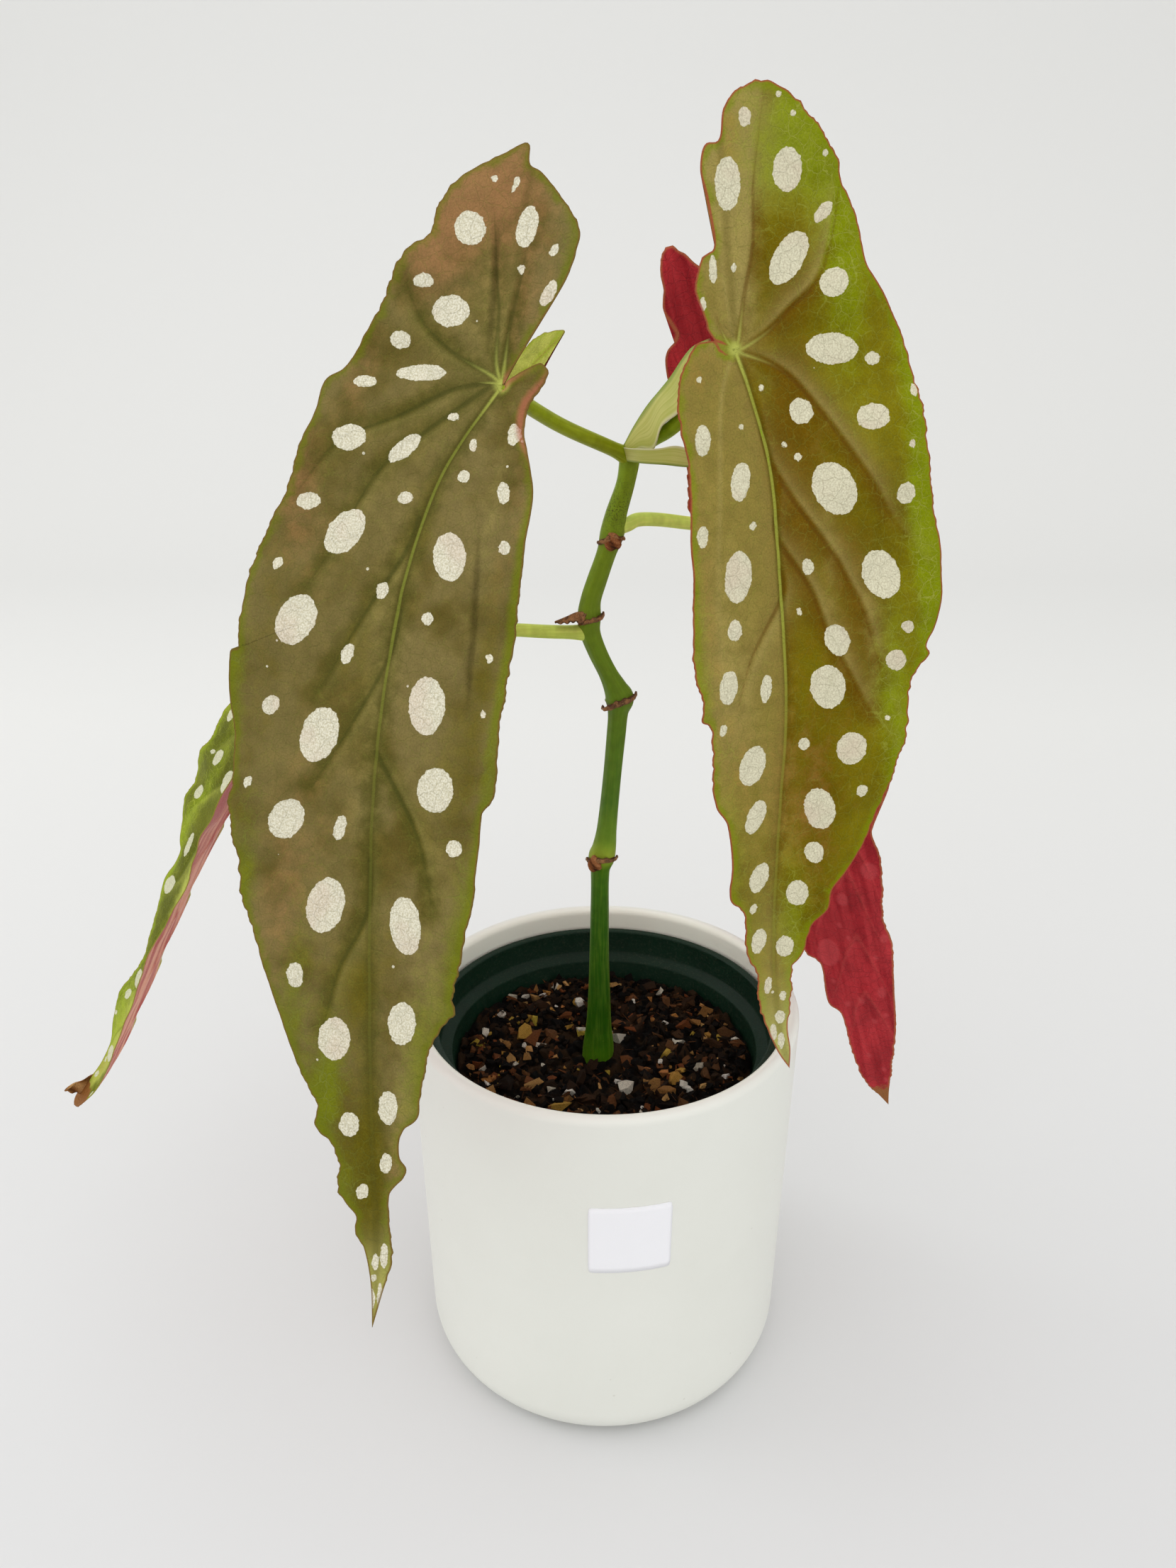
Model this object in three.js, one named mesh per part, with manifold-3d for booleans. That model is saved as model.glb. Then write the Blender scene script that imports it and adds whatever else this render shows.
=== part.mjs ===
// A potted polka dot begonia: a white ceramic pot with a blank paper label, a green nursery pot
// standing in it, soil, one cane with its dried stipules, four spotted leaves and two fresh stipules.
// Millimetres, +Z up, the plant faces -Y. The origin is the centre of the pot's foot.

import * as THREE from "three";
import { mergeVertices } from "three/addons/utils/BufferGeometryUtils.js";
import Module from "manifold-3d";

// Driving dimensions: the ceramic pot.
const POT_HEIGHT = 123.5;
const POT_RIM_RADIUS = 60;
const POT_FOOT_RADIUS = 58;
const POT_WALL = 4.5;
const POT_FLOOR = 6;
const POT_CORNER_RADIUS = 12;
const POT_INNER_CORNER_RADIUS = 9;
const POT_LIP_RADIUS = 2.2;

// The paper label on the pot's front.
const LABEL_WIDTH = 24;
const LABEL_HEIGHT = 23.5;
const LABEL_THICKNESS = 0.5;
const LABEL_MIDDLE_HEIGHT = 82;
const LABEL_TURN_DEG = 6.5;

// The nursery pot inside it.
const NURSERY_TOP = 117;
const NURSERY_RIM_RADIUS = 54.4;
const NURSERY_LIP = 1.4;
const NURSERY_BAND_HEIGHT = 9;
const NURSERY_STEP_RADIUS = 49;
const NURSERY_BASE_RADIUS = 39;
const NURSERY_WALL = 1.4;
const DRAIN_HOLE_RADIUS = 4;
const DRAIN_HOLE_RING = 24;
const DRAIN_HOLES = 6;

// Soil level and the chunks of bark and perlite that lie in it.
const SOIL_LEVEL = 102.5;
const SOIL_BUMP = 1.6;
const SOIL_EDGE_START = 0.82;
const SOIL_EDGE_DROP = 14;
const CHUNK_COUNT = 42;
const CHUNK_SMALLEST = 1.6;
const CHUNK_LARGEST = 4.4;

// What stands beside another piece without touching it keeps this gap.
const GAP = 0.3;

// The cane: where its nodes are, and how thick it is there.
const CANE_ROOT_DEPTH = 24;
const CANE_FLARE_RADIUS = 5;
const CANE_STATIONS = [
  { at: [-2, 0, SOIL_LEVEL - CANE_ROOT_DEPTH], radius: 4.2 },
  { at: [-2, 0, SOIL_LEVEL - 5], radius: CANE_FLARE_RADIUS },
  { at: [-1.8, 0, SOIL_LEVEL + 3], radius: 4.8 },
  { at: [-1.7, 0, 114], radius: 3.9 },
  { at: [-1.6, 0, 125], radius: 3.4 },
  { at: [-1.6, 0, 138], radius: 3 },
  { at: [-1.5, 0, 152], radius: 2.8 },
  { at: [-1.4, 0, 167], radius: 2.8 },
  { at: [-1, 0, 171.5], radius: 3.9 },
  { at: [-0.2, 0, 175], radius: 3.5 },
  { at: [0.5, 0, 181], radius: 2.9 },
  { at: [1.8, 0, 196], radius: 2.6 },
  { at: [3, 0, 211], radius: 2.7 },
  { at: [3.4, 0, 217], radius: 2.9 },
  { at: [3.7, 0, 221], radius: 4.1 },
  { at: [2.6, 0, 224], radius: 3.3 },
  { at: [0.5, 0, 228.3], radius: 2.6 },
  { at: [-2.5, 0, 234.5], radius: 2.6 },
  { at: [-4.5, 0, 240], radius: 2.8 },
  { at: [-4.8, 0, 244.5], radius: 3.2 },
  { at: [-4.4, 0, 249], radius: 2.8 },
  { at: [-2.9, 0, 254], radius: 2.7 },
  { at: [-0.3, 0, 261.7], radius: 2.6 },
  { at: [1.2, 0, 267], radius: 3.2 },
  { at: [2.2, 0, 272], radius: 2.8 },
  { at: [4.6, 0, 280], radius: 2.4 },
  { at: [5.7, 0, 287], radius: 2.6 },
  { at: [6, 0, 289.5], radius: 2 },
];

// The four leaves. Each lies in its own frame: u runs from the stalk's joint towards the tip, v runs
// to the right seen from above, and the blade rises from that plane by its bow, fold and ripple.
const BLADE_THICKNESS = 0.8;
const STALK_RADIUS = 1.9;
const STALK_FOOT_RADIUS = 2.2;
const LEAVES = {
  leaf_front_left: {
    joint: [-24, -40, 307],
    tip: [-55, -110, 105],
    facing: [-0.25, -0.9, 0.35],
    bow: [[0, 0], [60, 4], [140, 4]],
    foldLeft: 0.06,
    foldRight: 0.12,
    ripple: 1.3,
    rippleLength: 41,
    rippleTurn: 0.6,
    lobeReach: 22,
    lobeRows: { left: 28, right: 10 },
    midrib: [[0, 0], [20, -10], [44, -15], [78, -16], [106, -14], [137, -10], [172, -5], [198, -1]],
    left: [
      [-7, 3.5], [-15, 7.5], [-23, 11.5], [-29, 13], [-35, 12.5], [-45, 3.5], [-47.5, -0.5],
      [-52, -1.5], [-50, -6], [-44.5, -15.5], [-38, -20], [-31, -21.5], [-27, -26], [-21, -28.5],
      [-15, -30.5], [-7, -34.5], [-1, -38], [2.5, -42], [11, -43], [18, -44.5], [29, -47],
      [38.5, -51], [46, -52.5], [58, -52.5], [65, -52], [66, -54], [72, -54], [79, -53], [86, -51],
      [95, -49], [100, -49.5], [106, -48], [117, -45.5], [123, -44], [133, -37.5], [143, -33],
      [149, -30], [157.5, -26], [161, -23.5], [166, -19.5], [171.5, -19], [175, -14.5],
      [179, -12.5], [185.5, -12], [190.5, -7], [194, -7], [198, -4], [206, -1.5],
    ],
    right: [
      [-2, 2], [-5, 8], [-3, 10.5], [3, 7], [9, 6.5], [14, 8.5], [19, 10.5], [26, 12], [46, 13],
      [67, 13], [88, 14], [94, 11.5], [107, 12], [111.5, 12.5], [125, 11.5], [134, 10.5],
      [138.5, 11], [145, 7], [158, 5.5], [163.5, 5.5], [167, 2.5], [170, 1.5], [174, 2], [176, 4],
      [178.5, 3.5], [182, 1], [185, 0.5], [191, 1.5], [198.5, 3], [207, 1.5],
    ],
    stalk: [
      [5.4, 0, 286.6], [0.4, -5, 289.5], [-10, -17, 295.3], [-16.6, -26, 299.9], [-23, -38.2, 305.5],
    ],
  },
  leaf_front_right: {
    joint: [28, -30, 314],
    tip: [48, -55, 137],
    facing: [0.22, -0.9, 0.35],
    bow: [[0, 0], [45, 4.5], [120, 4]],
    foldLeft: 0.16,
    foldRight: 0.05,
    ripple: 1.2,
    rippleLength: 37,
    rippleTurn: 2.1,
    lobeReach: 18,
    lobeRows: { left: 10, right: 30 },
    midrib: [[0, 0], [13, 3], [25, 5], [46, 5], [83, 4], [102, 1.5], [121, -1], [143, -3], [166, -2.5]],
    left: [
      [-2, -4.5], [-1.5, -9.5], [2, -12.5], [8, -15.5], [17, -16], [24.5, -15], [40, -17],
      [53, -17.5], [69, -19], [78, -18], [82, -18], [85, -16], [100, -16.5], [105, -15.5],
      [109, -13.5], [119, -13], [128, -14], [133, -10.5], [143.5, -10.5], [149.5, -8], [160, -7.5],
      [173, -3.5],
    ],
    right: [
      [1, -2.5], [-3, -5.5], [-9, -7.5], [-13.5, -8.5], [-19, -6.5], [-21, -3.5], [-24, -3],
      [-32, -4], [-37, -5], [-42, -3.5], [-43, 0], [-49, 1.5], [-52.5, 5], [-54, 11], [-51, 17],
      [-46.5, 21], [-38, 27], [-34, 28], [-27, 30.5], [-16, 32], [-12, 34], [-2.5, 40], [5.5, 42],
      [13.5, 43], [30, 44.5], [44, 45.5], [59, 45], [67.5, 44], [72.5, 41.5], [75, 42], [80.5, 37.5],
      [94, 34], [104.5, 30], [116, 25], [126, 18.5], [131, 13.5], [136, 12], [140, 7.5], [147, 5],
      [150.5, 2], [158, 1.5], [167, 0], [174, 0.5],
    ],
    stalk: [
      [6, 0, 287.4], [11.1, -4, 291.3], [15.3, -8, 294.3], [19.2, -13, 298.7], [23.4, -20, 305.3],
      [27.4, -28, 312.8],
    ],
  },
  leaf_back_right: {
    joint: [37, 25, 265],
    tip: [105, 40, 51],
    facing: [0.3, 0.9, 0.3],
    bow: [[0, 0], [75, 6], [160, 4]],
    foldLeft: 0.1,
    foldRight: 0.1,
    ripple: 1.4,
    rippleLength: 46,
    rippleTurn: 0.2,
    lobeReach: 24,
    lobeRows: { left: 10, right: 28 },
    midrib: [[0, 0], [30, -2], [70, -6], [110, -6], [150, -3], [200, 0]],
    left: [
      [-3, -6], [-6, -15], [-1, -23], [8, -27], [20, -26], [40, -28], [65, -29], [80, -28],
      [94, -24.5], [107, -17.5], [112, -15.5], [121, -16.5], [133, -15], [145, -13], [155, -14],
      [166, -12.5], [176, -11], [190, -9], [204, -5.5], [218, -1.5],
    ],
    right: [
      [-8, -6], [-24, -11], [-45, -14], [-62, -11.5], [-69, -7], [-73, -4], [-75, -0.5], [-70, 2.5],
      [-65, 3], [-60.5, 4.5], [-56, 3], [-53, 2.5], [-49.5, 7], [-44, 8.5], [-41.5, 8],
      [-37.5, 5], [-30, 7], [-22, 9], [-12, 11.5], [-6, 13], [4, 12.5], [22, 17], [40, 22],
      [60, 25.5], [92, 26.5], [125, 24], [145, 20], [157.5, 17], [163.5, 12.5], [179.5, 13.5], [185, 9.5],
      [200, 9], [214, 7], [220, 3],
    ],
    stalk: [
      [1.4, 0, 268.4], [5.3, 2, 268.9], [8.2, 4, 269.8], [14.1, 8, 269.1], [23.3, 14, 267],
      [30.8, 20, 265.4], [36.4, 23.8, 265],
    ],
  },
  leaf_back_left: {
    joint: [-49, 5, 257],
    tip: [-172, 0, 82],
    facing: [-0.79, -0.28, 0.562],
    bow: [[0, 0], [45, 9], [100, 9], [140, 4], [180, -1.6], [200, -2.8]],
    foldLeft: 0.354,
    foldRight: 0.5,
    ripple: 1,
    rippleLength: 35,
    rippleTurn: 1.2,
    lobeReach: 22,
    lobeRows: { left: 24, right: 10 },
    midrib: [[0, 0], [50, 0], [100, 0], [150, 0], [200, 0]],
    left: [
      [-12, -3], [-30, -8], [-50, -12], [-59, -10.5], [-64, -8.7], [-70, -6.6], [-70, -9],
      [-65, -15.5], [-57.5, -18.5], [-42, -25], [-22, -30], [0, -32], [25, -32], [50, -30],
      [66, -28.5], [76, -28.7], [88, -28.4], [95.5, -31.5], [103, -26.5], [108.5, -25.5],
      [118, -18.2], [121, -15.5], [133, -18.4], [147.5, -13.6], [157, -12], [164, -12.6],
      [176, -16], [186, -13.6], [191, -8.8], [195, -7.4], [204.7, -5.6], [210, -5], [214, -2.5],
    ],
    right: [
      [-4, 8], [-5, 18], [4, 24], [18, 27], [40, 27], [60, 25], [72, 24], [80, 25.5], [92, 20.5],
      [106, 13.5], [116, 10], [123, 14], [133, 15.5], [139, 17.5], [150, 15.5], [163.5, 13.5],
      [176, 11.5], [188, 9.5], [200, 6.5], [210, 4],
    ],
    stalk: [
      [-4.7, 0, 240], [-14.7, 0, 240.2], [-22.4, 0, 240.6], [-30.2, 1, 240.9], [-38, 2.2, 243.5],
      [-45, 4, 250.3], [-48.2, 5, 256],
    ],
  },
};

// The two fresh stipules of the top node, each a pointed scale folded along its keel.
const STIPULE_THICKNESS = 0.7;
const STIPULES = {
  stipule_upright: {
    keel: [
      [4.2, -2.9, 290], [6.5, -4.2, 294.5], [9.5, -6.5, 299.5], [12.5, -9.5, 303.5],
      [15, -12.5, 307], [17.3, -16, 311], [19.5, -19.5, 314], [22.9, -23, 315.8],
    ],
    nearFlap: [
      [0.6, -0.7, -2.2], [1.4, -2.2, -5.4], [2, -3, -9.5], [0.9, -3, -7.5], [2, -4, -7.8],
      [2, -3, -6.5], [1.8, -2.2, -3.8], [0.3, -0.3, -0.5],
    ],
    farFlap: [
      [-0.3, 1.2, -1.2], [0.7, 2, -2.8], [1.8, 2.2, -4.6], [2.8, 2.2, -5.6], [3, 2.2, -5.8],
      [2.6, 1.8, -4.6], [1.6, 1, -2.6], [0.3, 0.2, -0.5],
    ],
  },
  stipule_side: {
    keel: [
      [5, -3.2, 286], [8.3, -9, 286.3], [13.8, -13.4, 286.5], [19.8, -16.6, 286.4],
      [24.2, -18.2, 287.4], [27.2, -19.2, 289.4],
    ],
    nearFlap: [
      [-1, -0.9, 3.6], [-0.4, -1.4, 3.4], [0, -1.3, 4], [0.2, -1.2, 4.6], [0, -0.9, 3.4], [0, -0.3, 0.5],
    ],
    farFlap: [
      [1.2, 0.2, 1], [0.6, 0.9, 1.3], [0.3, 1.5, 1.8], [0.3, 1.8, 2.4], [0.2, 1.3, 1.8], [0, 0.3, 0.4],
    ],
  },
};

// The dried remains of older stipules: ragged collars that clasp the cane at its nodes, each over a
// part of a turn, with a torn upper edge. Two have a corky knob in front and one a long shard.
const COLLAR_THICKNESS = 1;
const COLLARS = {
  dry_stipule_node_1: {
    node: [-1, 0, 171.2], radius: 4.4, fromDeg: 150, toDeg: 375, height: 2.4, tilt: [0.08, 0.3], tear: 0.7,
    knob: { at: [-3, -3.4, 171.2], half: [2, 1.3, 2.5] },
  },
  dry_stipule_node_2: {
    node: [3.6, 0, 220], radius: 4.6, fromDeg: 165, toDeg: 400, height: 2.8, tilt: [0.42, 0.2], tear: 0.9,
  },
  dry_stipule_node_3: {
    node: [-4.7, 0, 243.6], radius: 3.7, fromDeg: 235, toDeg: 420, height: 2.4, tilt: [0.3, 0.1], tear: 0.7,
    shard: {
      keel: [[-5.2, -2.8, 246.4], [-8, -1.9, 246], [-11, -1.6, 244.6], [-14, -1.5, 243.3]],
      nearFlap: [[-1.3, -0.6, -3.4], [-0.5, -1.2, -2.2], [0, -1, -1.3], [0, -0.3, -0.3]],
      farFlap: [[0, 0.6, -0.8], [0, 1.4, -0.9], [0, 1, -0.6], [0, 0.3, -0.2]],
    },
  },
  dry_stipule_node_4: {
    node: [1, 0, 264.8], radius: 3.6, fromDeg: 190, toDeg: 350, height: 2.4, tilt: [0.15, 0.35], tear: 0.8,
    knob: { at: [1.5, -3, 265.4], half: [2.2, 1, 2.4] },
  },
};

const wasm = await Module();
wasm.setup();

const ceramic = new THREE.MeshStandardMaterial({ color: 0xe3e4dc, roughness: 0.55 });
const paper = new THREE.MeshStandardMaterial({ color: 0xf0f0ee, roughness: 0.8 });
const greenPlastic = new THREE.MeshStandardMaterial({ color: 0x12301f, roughness: 0.4 });
const bark = new THREE.MeshStandardMaterial({ color: 0x3a2418, roughness: 0.95 });
const caneGreen = new THREE.MeshStandardMaterial({ color: 0x4f7420, roughness: 0.5 });
const leafGreen = new THREE.MeshStandardMaterial({ color: 0x69622f, roughness: 0.5 });
const leafLime = new THREE.MeshStandardMaterial({ color: 0x7e7a2b, roughness: 0.5 });
const leafCrimson = new THREE.MeshStandardMaterial({ color: 0x96232d, roughness: 0.5 });
const stipuleGreen = new THREE.MeshStandardMaterial({ color: 0xafbe6e, roughness: 0.6 });
const dryBrown = new THREE.MeshStandardMaterial({ color: 0x70401f, roughness: 0.9 });

// A small seeded draw, so that the chunks and bumps fall in the same places each time.
function seededDraw(seed) {
  let state = seed;
  return () => {
    state = (state * 1664525 + 1013904223) % 4294967296;
    return state / 4294967296;
  };
}

const vector = (xyz) => new THREE.Vector3(...xyz);

// A geometry with welded corners, as a solid that can be joined or cut.
function solidFrom(geometry) {
  const bare = geometry.clone();
  bare.deleteAttribute("normal");
  bare.deleteAttribute("uv");
  const welded = mergeVertices(bare, 1e-4);
  return new wasm.Manifold(
    new wasm.Mesh({
      numProp: 3,
      vertProperties: welded.attributes.position.array,
      triVerts: new Uint32Array(welded.index.array),
    }),
  );
}

// The largest body of a cut solid, without the scraps and slivers that a cut leaves.
const SLIVER = 0.02;
function largestBody(solid) {
  const bodies = solid.simplify(SLIVER).decompose();
  return bodies.reduce((kept, body) => (body.volume() > kept.volume() ? body : kept));
}

function geometryFrom(solid) {
  const mesh = solid.getMesh();
  const geometry = new THREE.BufferGeometry();
  geometry.setAttribute("position", new THREE.BufferAttribute(mesh.vertProperties, 3));
  geometry.setIndex(new THREE.BufferAttribute(mesh.triVerts, 1));
  geometry.computeVertexNormals();
  return geometry;
}

// A thin sheet: the middle surface's points, its normals and its triangles, given a thickness. Both
// faces take the same triangles, and a wall closes each edge that only one triangle has.
function sheetGeometry(points, normals, triangles, thickness) {
  const count = points.length;
  const corners = [];
  for (const side of [0.5, -0.5]) {
    points.forEach((p, i) => {
      const q = p.clone().addScaledVector(normals[i], side * thickness);
      corners.push(q.x, q.y, q.z);
    });
  }
  const edges = new Map();
  const index = [];
  for (const [a, b, c] of triangles) {
    index.push(a, b, c, a + count, c + count, b + count);
    for (const [from, to] of [[a, b], [b, c], [c, a]]) {
      const back = to + "," + from;
      if (edges.has(back)) edges.delete(back);
      else edges.set(from + "," + to, [from, to]);
    }
  }
  for (const [from, to] of edges.values()) {
    index.push(from, from + count, to, to, from + count, to + count);
  }
  const geometry = new THREE.BufferGeometry();
  geometry.setAttribute("position", new THREE.Float32BufferAttribute(corners, 3));
  geometry.setIndex(index);
  return geometry;
}

// A round rod along a curve through the stations, as thick at each as it says, closed by flat ends.
const CURVE_SAMPLES = 200;
function rodGeometry(stations, rings, sides, extraRadius = 0) {
  const curve = new THREE.CatmullRomCurve3(stations.map((s) => vector(s.at)), false, "centripetal");
  const frames = curve.computeFrenetFrames(rings, false);
  const lengths = curve.getLengths(CURVE_SAMPLES);
  const total = lengths[lengths.length - 1];
  const reached = stations.map((s, i) => {
    const parameter = i / (stations.length - 1);
    return lengths[Math.round(parameter * CURVE_SAMPLES)] / total;
  });
  const radiusAt = (share) => {
    let k = 0;
    while (k < stations.length - 2 && share > reached[k + 1]) k += 1;
    const part = THREE.MathUtils.clamp((share - reached[k]) / (reached[k + 1] - reached[k]), 0, 1);
    return THREE.MathUtils.lerp(stations[k].radius, stations[k + 1].radius, part);
  };
  const corners = [];
  for (let ring = 0; ring <= rings; ring += 1) {
    const middle = curve.getPointAt(ring / rings);
    const radius = radiusAt(ring / rings) + extraRadius;
    for (let side = 0; side < sides; side += 1) {
      const angle = (2 * Math.PI * side) / sides;
      const corner = middle
        .clone()
        .addScaledVector(frames.normals[ring], Math.cos(angle) * radius)
        .addScaledVector(frames.binormals[ring], Math.sin(angle) * radius);
      corners.push(corner.x, corner.y, corner.z);
    }
  }
  const start = curve.getPointAt(0);
  const end = curve.getPointAt(1);
  const startIndex = corners.length / 3;
  corners.push(start.x, start.y, start.z, end.x, end.y, end.z);
  const index = [];
  for (let side = 0; side < sides; side += 1) {
    const next = (side + 1) % sides;
    for (let ring = 0; ring < rings; ring += 1) {
      const a = ring * sides + side;
      const b = ring * sides + next;
      index.push(a, b, a + sides, b, b + sides, a + sides);
    }
    index.push(startIndex, next, side);
    index.push(startIndex + 1, rings * sides + side, rings * sides + next);
  }
  const geometry = new THREE.BufferGeometry();
  geometry.setAttribute("position", new THREE.Float32BufferAttribute(corners, 3));
  geometry.setIndex(index);
  return geometry;
}

// A value read off a smooth curve through [place, value] pairs, level beyond its ends.
function readCurve(pairs, place) {
  const last = pairs.length - 1;
  if (place <= pairs[0][0]) return pairs[0][1];
  if (place >= pairs[last][0]) return pairs[last][1];
  const slopeAt = (k) => {
    const [before, after] = [pairs[Math.max(k - 1, 0)], pairs[Math.min(k + 1, last)]];
    return (after[1] - before[1]) / (after[0] - before[0]);
  };
  let k = 0;
  while (place > pairs[k + 1][0]) k += 1;
  const span = pairs[k + 1][0] - pairs[k][0];
  const t = (place - pairs[k][0]) / span;
  const blend = 3 * t ** 2 - 2 * t ** 3;
  const level = THREE.MathUtils.lerp(pairs[k][1], pairs[k + 1][1], blend);
  const bend = slopeAt(k) * (t ** 3 - 2 * t ** 2 + t) + slopeAt(k + 1) * (t ** 3 - t ** 2);
  return level + span * bend;
}

// The leaf's own frame and its blade surface. The fold's crease is a soft one, and the ripple leans
// back from the midrib and grows to its full height at its reach.
const FOLD_SOFTNESS = 5;
const RIPPLE_LEAN = 0.35;
const RIPPLE_REACH = 30;
function leafSurface(leaf) {
  const joint = vector(leaf.joint);
  const along = vector(leaf.tip).sub(joint);
  const length = along.length();
  along.normalize();
  const facing = vector(leaf.facing);
  const up = facing.addScaledVector(along, -facing.dot(along)).normalize();
  const across = new THREE.Vector3().crossVectors(up, along);
  const midrib = [...leaf.midrib, [length, 0]];
  const bow = [...leaf.bow, [length, 0]];
  const rise = (u, v) => {
    const aside = v - readCurve(midrib, u);
    const fold = aside > 0 ? leaf.foldRight : leaf.foldLeft;
    const folded = fold * (Math.hypot(aside, FOLD_SOFTNESS) - FOLD_SOFTNESS);
    const waveAngle = (2 * Math.PI * (u + RIPPLE_LEAN * aside)) / leaf.rippleLength + leaf.rippleTurn;
    const nearEdge = Math.min(Math.abs(aside) / RIPPLE_REACH, 1);
    return readCurve(bow, u) + folded + leaf.ripple * Math.sin(waveAngle) * nearEdge ** 2;
  };
  const point = (u, v) =>
    joint
      .clone()
      .addScaledVector(along, u)
      .addScaledVector(across, v)
      .addScaledVector(up, rise(u, v));
  const normal = (u, v) => {
    const step = 0.5;
    const alongU = point(u + step, v).sub(point(u - step, v));
    const alongV = point(u, v + step).sub(point(u, v - step));
    return new THREE.Vector3().crossVectors(alongU, alongV).normalize();
  };
  return { length, midrib, point, normal };
}

// Each half of a blade is made of rows: first they fan out from the joint round the lobe, then they
// cross from the midrib to the edge. Both halves start their rows at the same places on the midrib.
const BODY_ROWS = 32;
const ROW_STEPS = [0, 0.28, 0.54, 0.8, 1];
const EDGE_SAMPLES = 600;

function edgeRows(leaf, surface, side) {
  const corners = [[0, 0], ...leaf[side], [surface.length, 0]];
  const edge = new THREE.SplineCurve(corners.map(([u, v]) => new THREE.Vector2(u, v)));
  edge.arcLengthDivisions = EDGE_SAMPLES;
  const samples = edge.getSpacedPoints(EDGE_SAMPLES);
  let lobeEnd = 0;
  samples.forEach((p, i) => {
    if (p.x < leaf.lobeReach) lobeEnd = i;
  });
  const rows = [];
  const lobeRows = leaf.lobeRows[side];
  for (let i = 0; i < lobeRows; i += 1) {
    rows.push([new THREE.Vector2(0, 0), samples[Math.round((lobeEnd * i) / lobeRows)]]);
  }
  for (let i = 0; i <= BODY_ROWS; i += 1) {
    const u = (surface.length * i) / BODY_ROWS;
    const sample = Math.round(THREE.MathUtils.lerp(lobeEnd, EDGE_SAMPLES, i / BODY_ROWS));
    rows.push([new THREE.Vector2(u, readCurve(surface.midrib, u)), samples[sample]]);
  }
  return rows;
}

function bladeGeometry(leaf) {
  const surface = leafSurface(leaf);
  const places = [];
  const found = new Map();
  const cornerAt = (place) => {
    const key = place.x.toFixed(3) + "," + place.y.toFixed(3);
    if (!found.has(key)) {
      found.set(key, places.length);
      places.push([place.x, place.y]);
    }
    return found.get(key);
  };
  const triangles = [];
  for (const side of ["left", "right"]) {
    const rows = edgeRows(leaf, surface, side).map(([from, to]) =>
      ROW_STEPS.map((share) => cornerAt(from.clone().lerp(to, share))),
    );
    for (let i = 0; i < rows.length - 1; i += 1) {
      for (let k = 0; k < ROW_STEPS.length - 1; k += 1) {
        const [a, b, c, d] = [rows[i][k], rows[i][k + 1], rows[i + 1][k + 1], rows[i + 1][k]];
        const halves = side === "right" ? [[a, c, b], [a, d, c]] : [[a, b, c], [a, c, d]];
        triangles.push(...halves.filter(([p, q, r]) => p !== q && q !== r && r !== p));
      }
    }
  }
  const points = places.map(([u, v]) => surface.point(u, v));
  const normals = places.map(([u, v]) => surface.normal(u, v));
  return sheetGeometry(points, normals, triangles, BLADE_THICKNESS);
}

// The normals of a middle surface's points, from its own triangles.
function sheetNormals(points, triangles) {
  const middle = new THREE.BufferGeometry();
  middle.setAttribute("position", new THREE.Float32BufferAttribute(points.flatMap((p) => p.toArray()), 3));
  middle.setIndex(triangles.flat());
  middle.computeVertexNormals();
  return points.map((p, i) => new THREE.Vector3().fromBufferAttribute(middle.attributes.normal, i));
}

// The triangles of a grid of points, so many across and so many rows.
function gridTriangles(rows, width) {
  const triangles = [];
  for (let i = 0; i < rows - 1; i += 1) {
    for (let k = 0; k < width - 1; k += 1) {
      const a = i * width + k;
      triangles.push([a, a + 1, a + width + 1], [a, a + width + 1, a + width]);
    }
  }
  return triangles;
}

// A pointed scale: a keel line, and two flaps that rise from it by their depths at each station.
function scaleGeometry({ keel, nearFlap, farFlap }, thickness) {
  const steps = [-1, -0.5, 0, 0.5, 1];
  const points = keel.flatMap((at, i) =>
    steps.map((step) => {
      const flap = step < 0 ? nearFlap[i] : farFlap[i];
      return vector(at).addScaledVector(vector(flap), Math.abs(step));
    }),
  );
  const triangles = gridTriangles(keel.length, steps.length);
  return sheetGeometry(points, sheetNormals(points, triangles), triangles, thickness);
}

// A collar round the cane: a band over part of a turn whose upper edge is torn and which leans by
// its tilt, in mm of rise for each mm towards +X and -Y. Its two ends are lower than its middle.
const COLLAR_COLUMNS = 13;
const COLLAR_END_SHARE = 0.35;
function collarGeometry({ node, radius, fromDeg, toDeg, height, tilt, tear }, thickness) {
  const points = [];
  for (let column = 0; column <= COLLAR_COLUMNS; column += 1) {
    const share = column / COLLAR_COLUMNS;
    const angle = THREE.MathUtils.degToRad(THREE.MathUtils.lerp(fromDeg, toDeg, share));
    const [x, y] = [radius * Math.cos(angle), radius * Math.sin(angle)];
    const lean = tilt[0] * x - tilt[1] * y;
    const ends = THREE.MathUtils.lerp(COLLAR_END_SHARE, 1, Math.sin(Math.PI * share));
    const torn = tear * Math.sin(7.3 * angle) * Math.sin(3.1 * angle + 0.8);
    for (const level of [-0.5, 0, 0.5]) {
      const rise = lean + level * height * ends + (level > 0 ? torn : 0.3 * torn);
      points.push(vector(node).add(new THREE.Vector3(x, y, rise)));
    }
  }
  const triangles = gridTriangles(COLLAR_COLUMNS + 1, 3);
  return sheetGeometry(points, sheetNormals(points, triangles), triangles, thickness);
}

// A corky knob: a lump with its half sizes along X, Y and Z.
const knobGeometry = ({ at, half }) => new THREE.IcosahedronGeometry(1, 1).scale(...half).translate(...at);

const plant = new THREE.Group();

function addPiece(name, geometry, material) {
  const mesh = new THREE.Mesh(geometry, material);
  mesh.name = name;
  plant.add(mesh);
}

// A lathe profile from [radius, height] corners.
function latheGeometry(corners, sectors) {
  return new THREE.LatheGeometry(
    corners.map(([radius, height]) => new THREE.Vector2(radius, height)),
    sectors,
  ).rotateX(Math.PI / 2);
}

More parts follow.
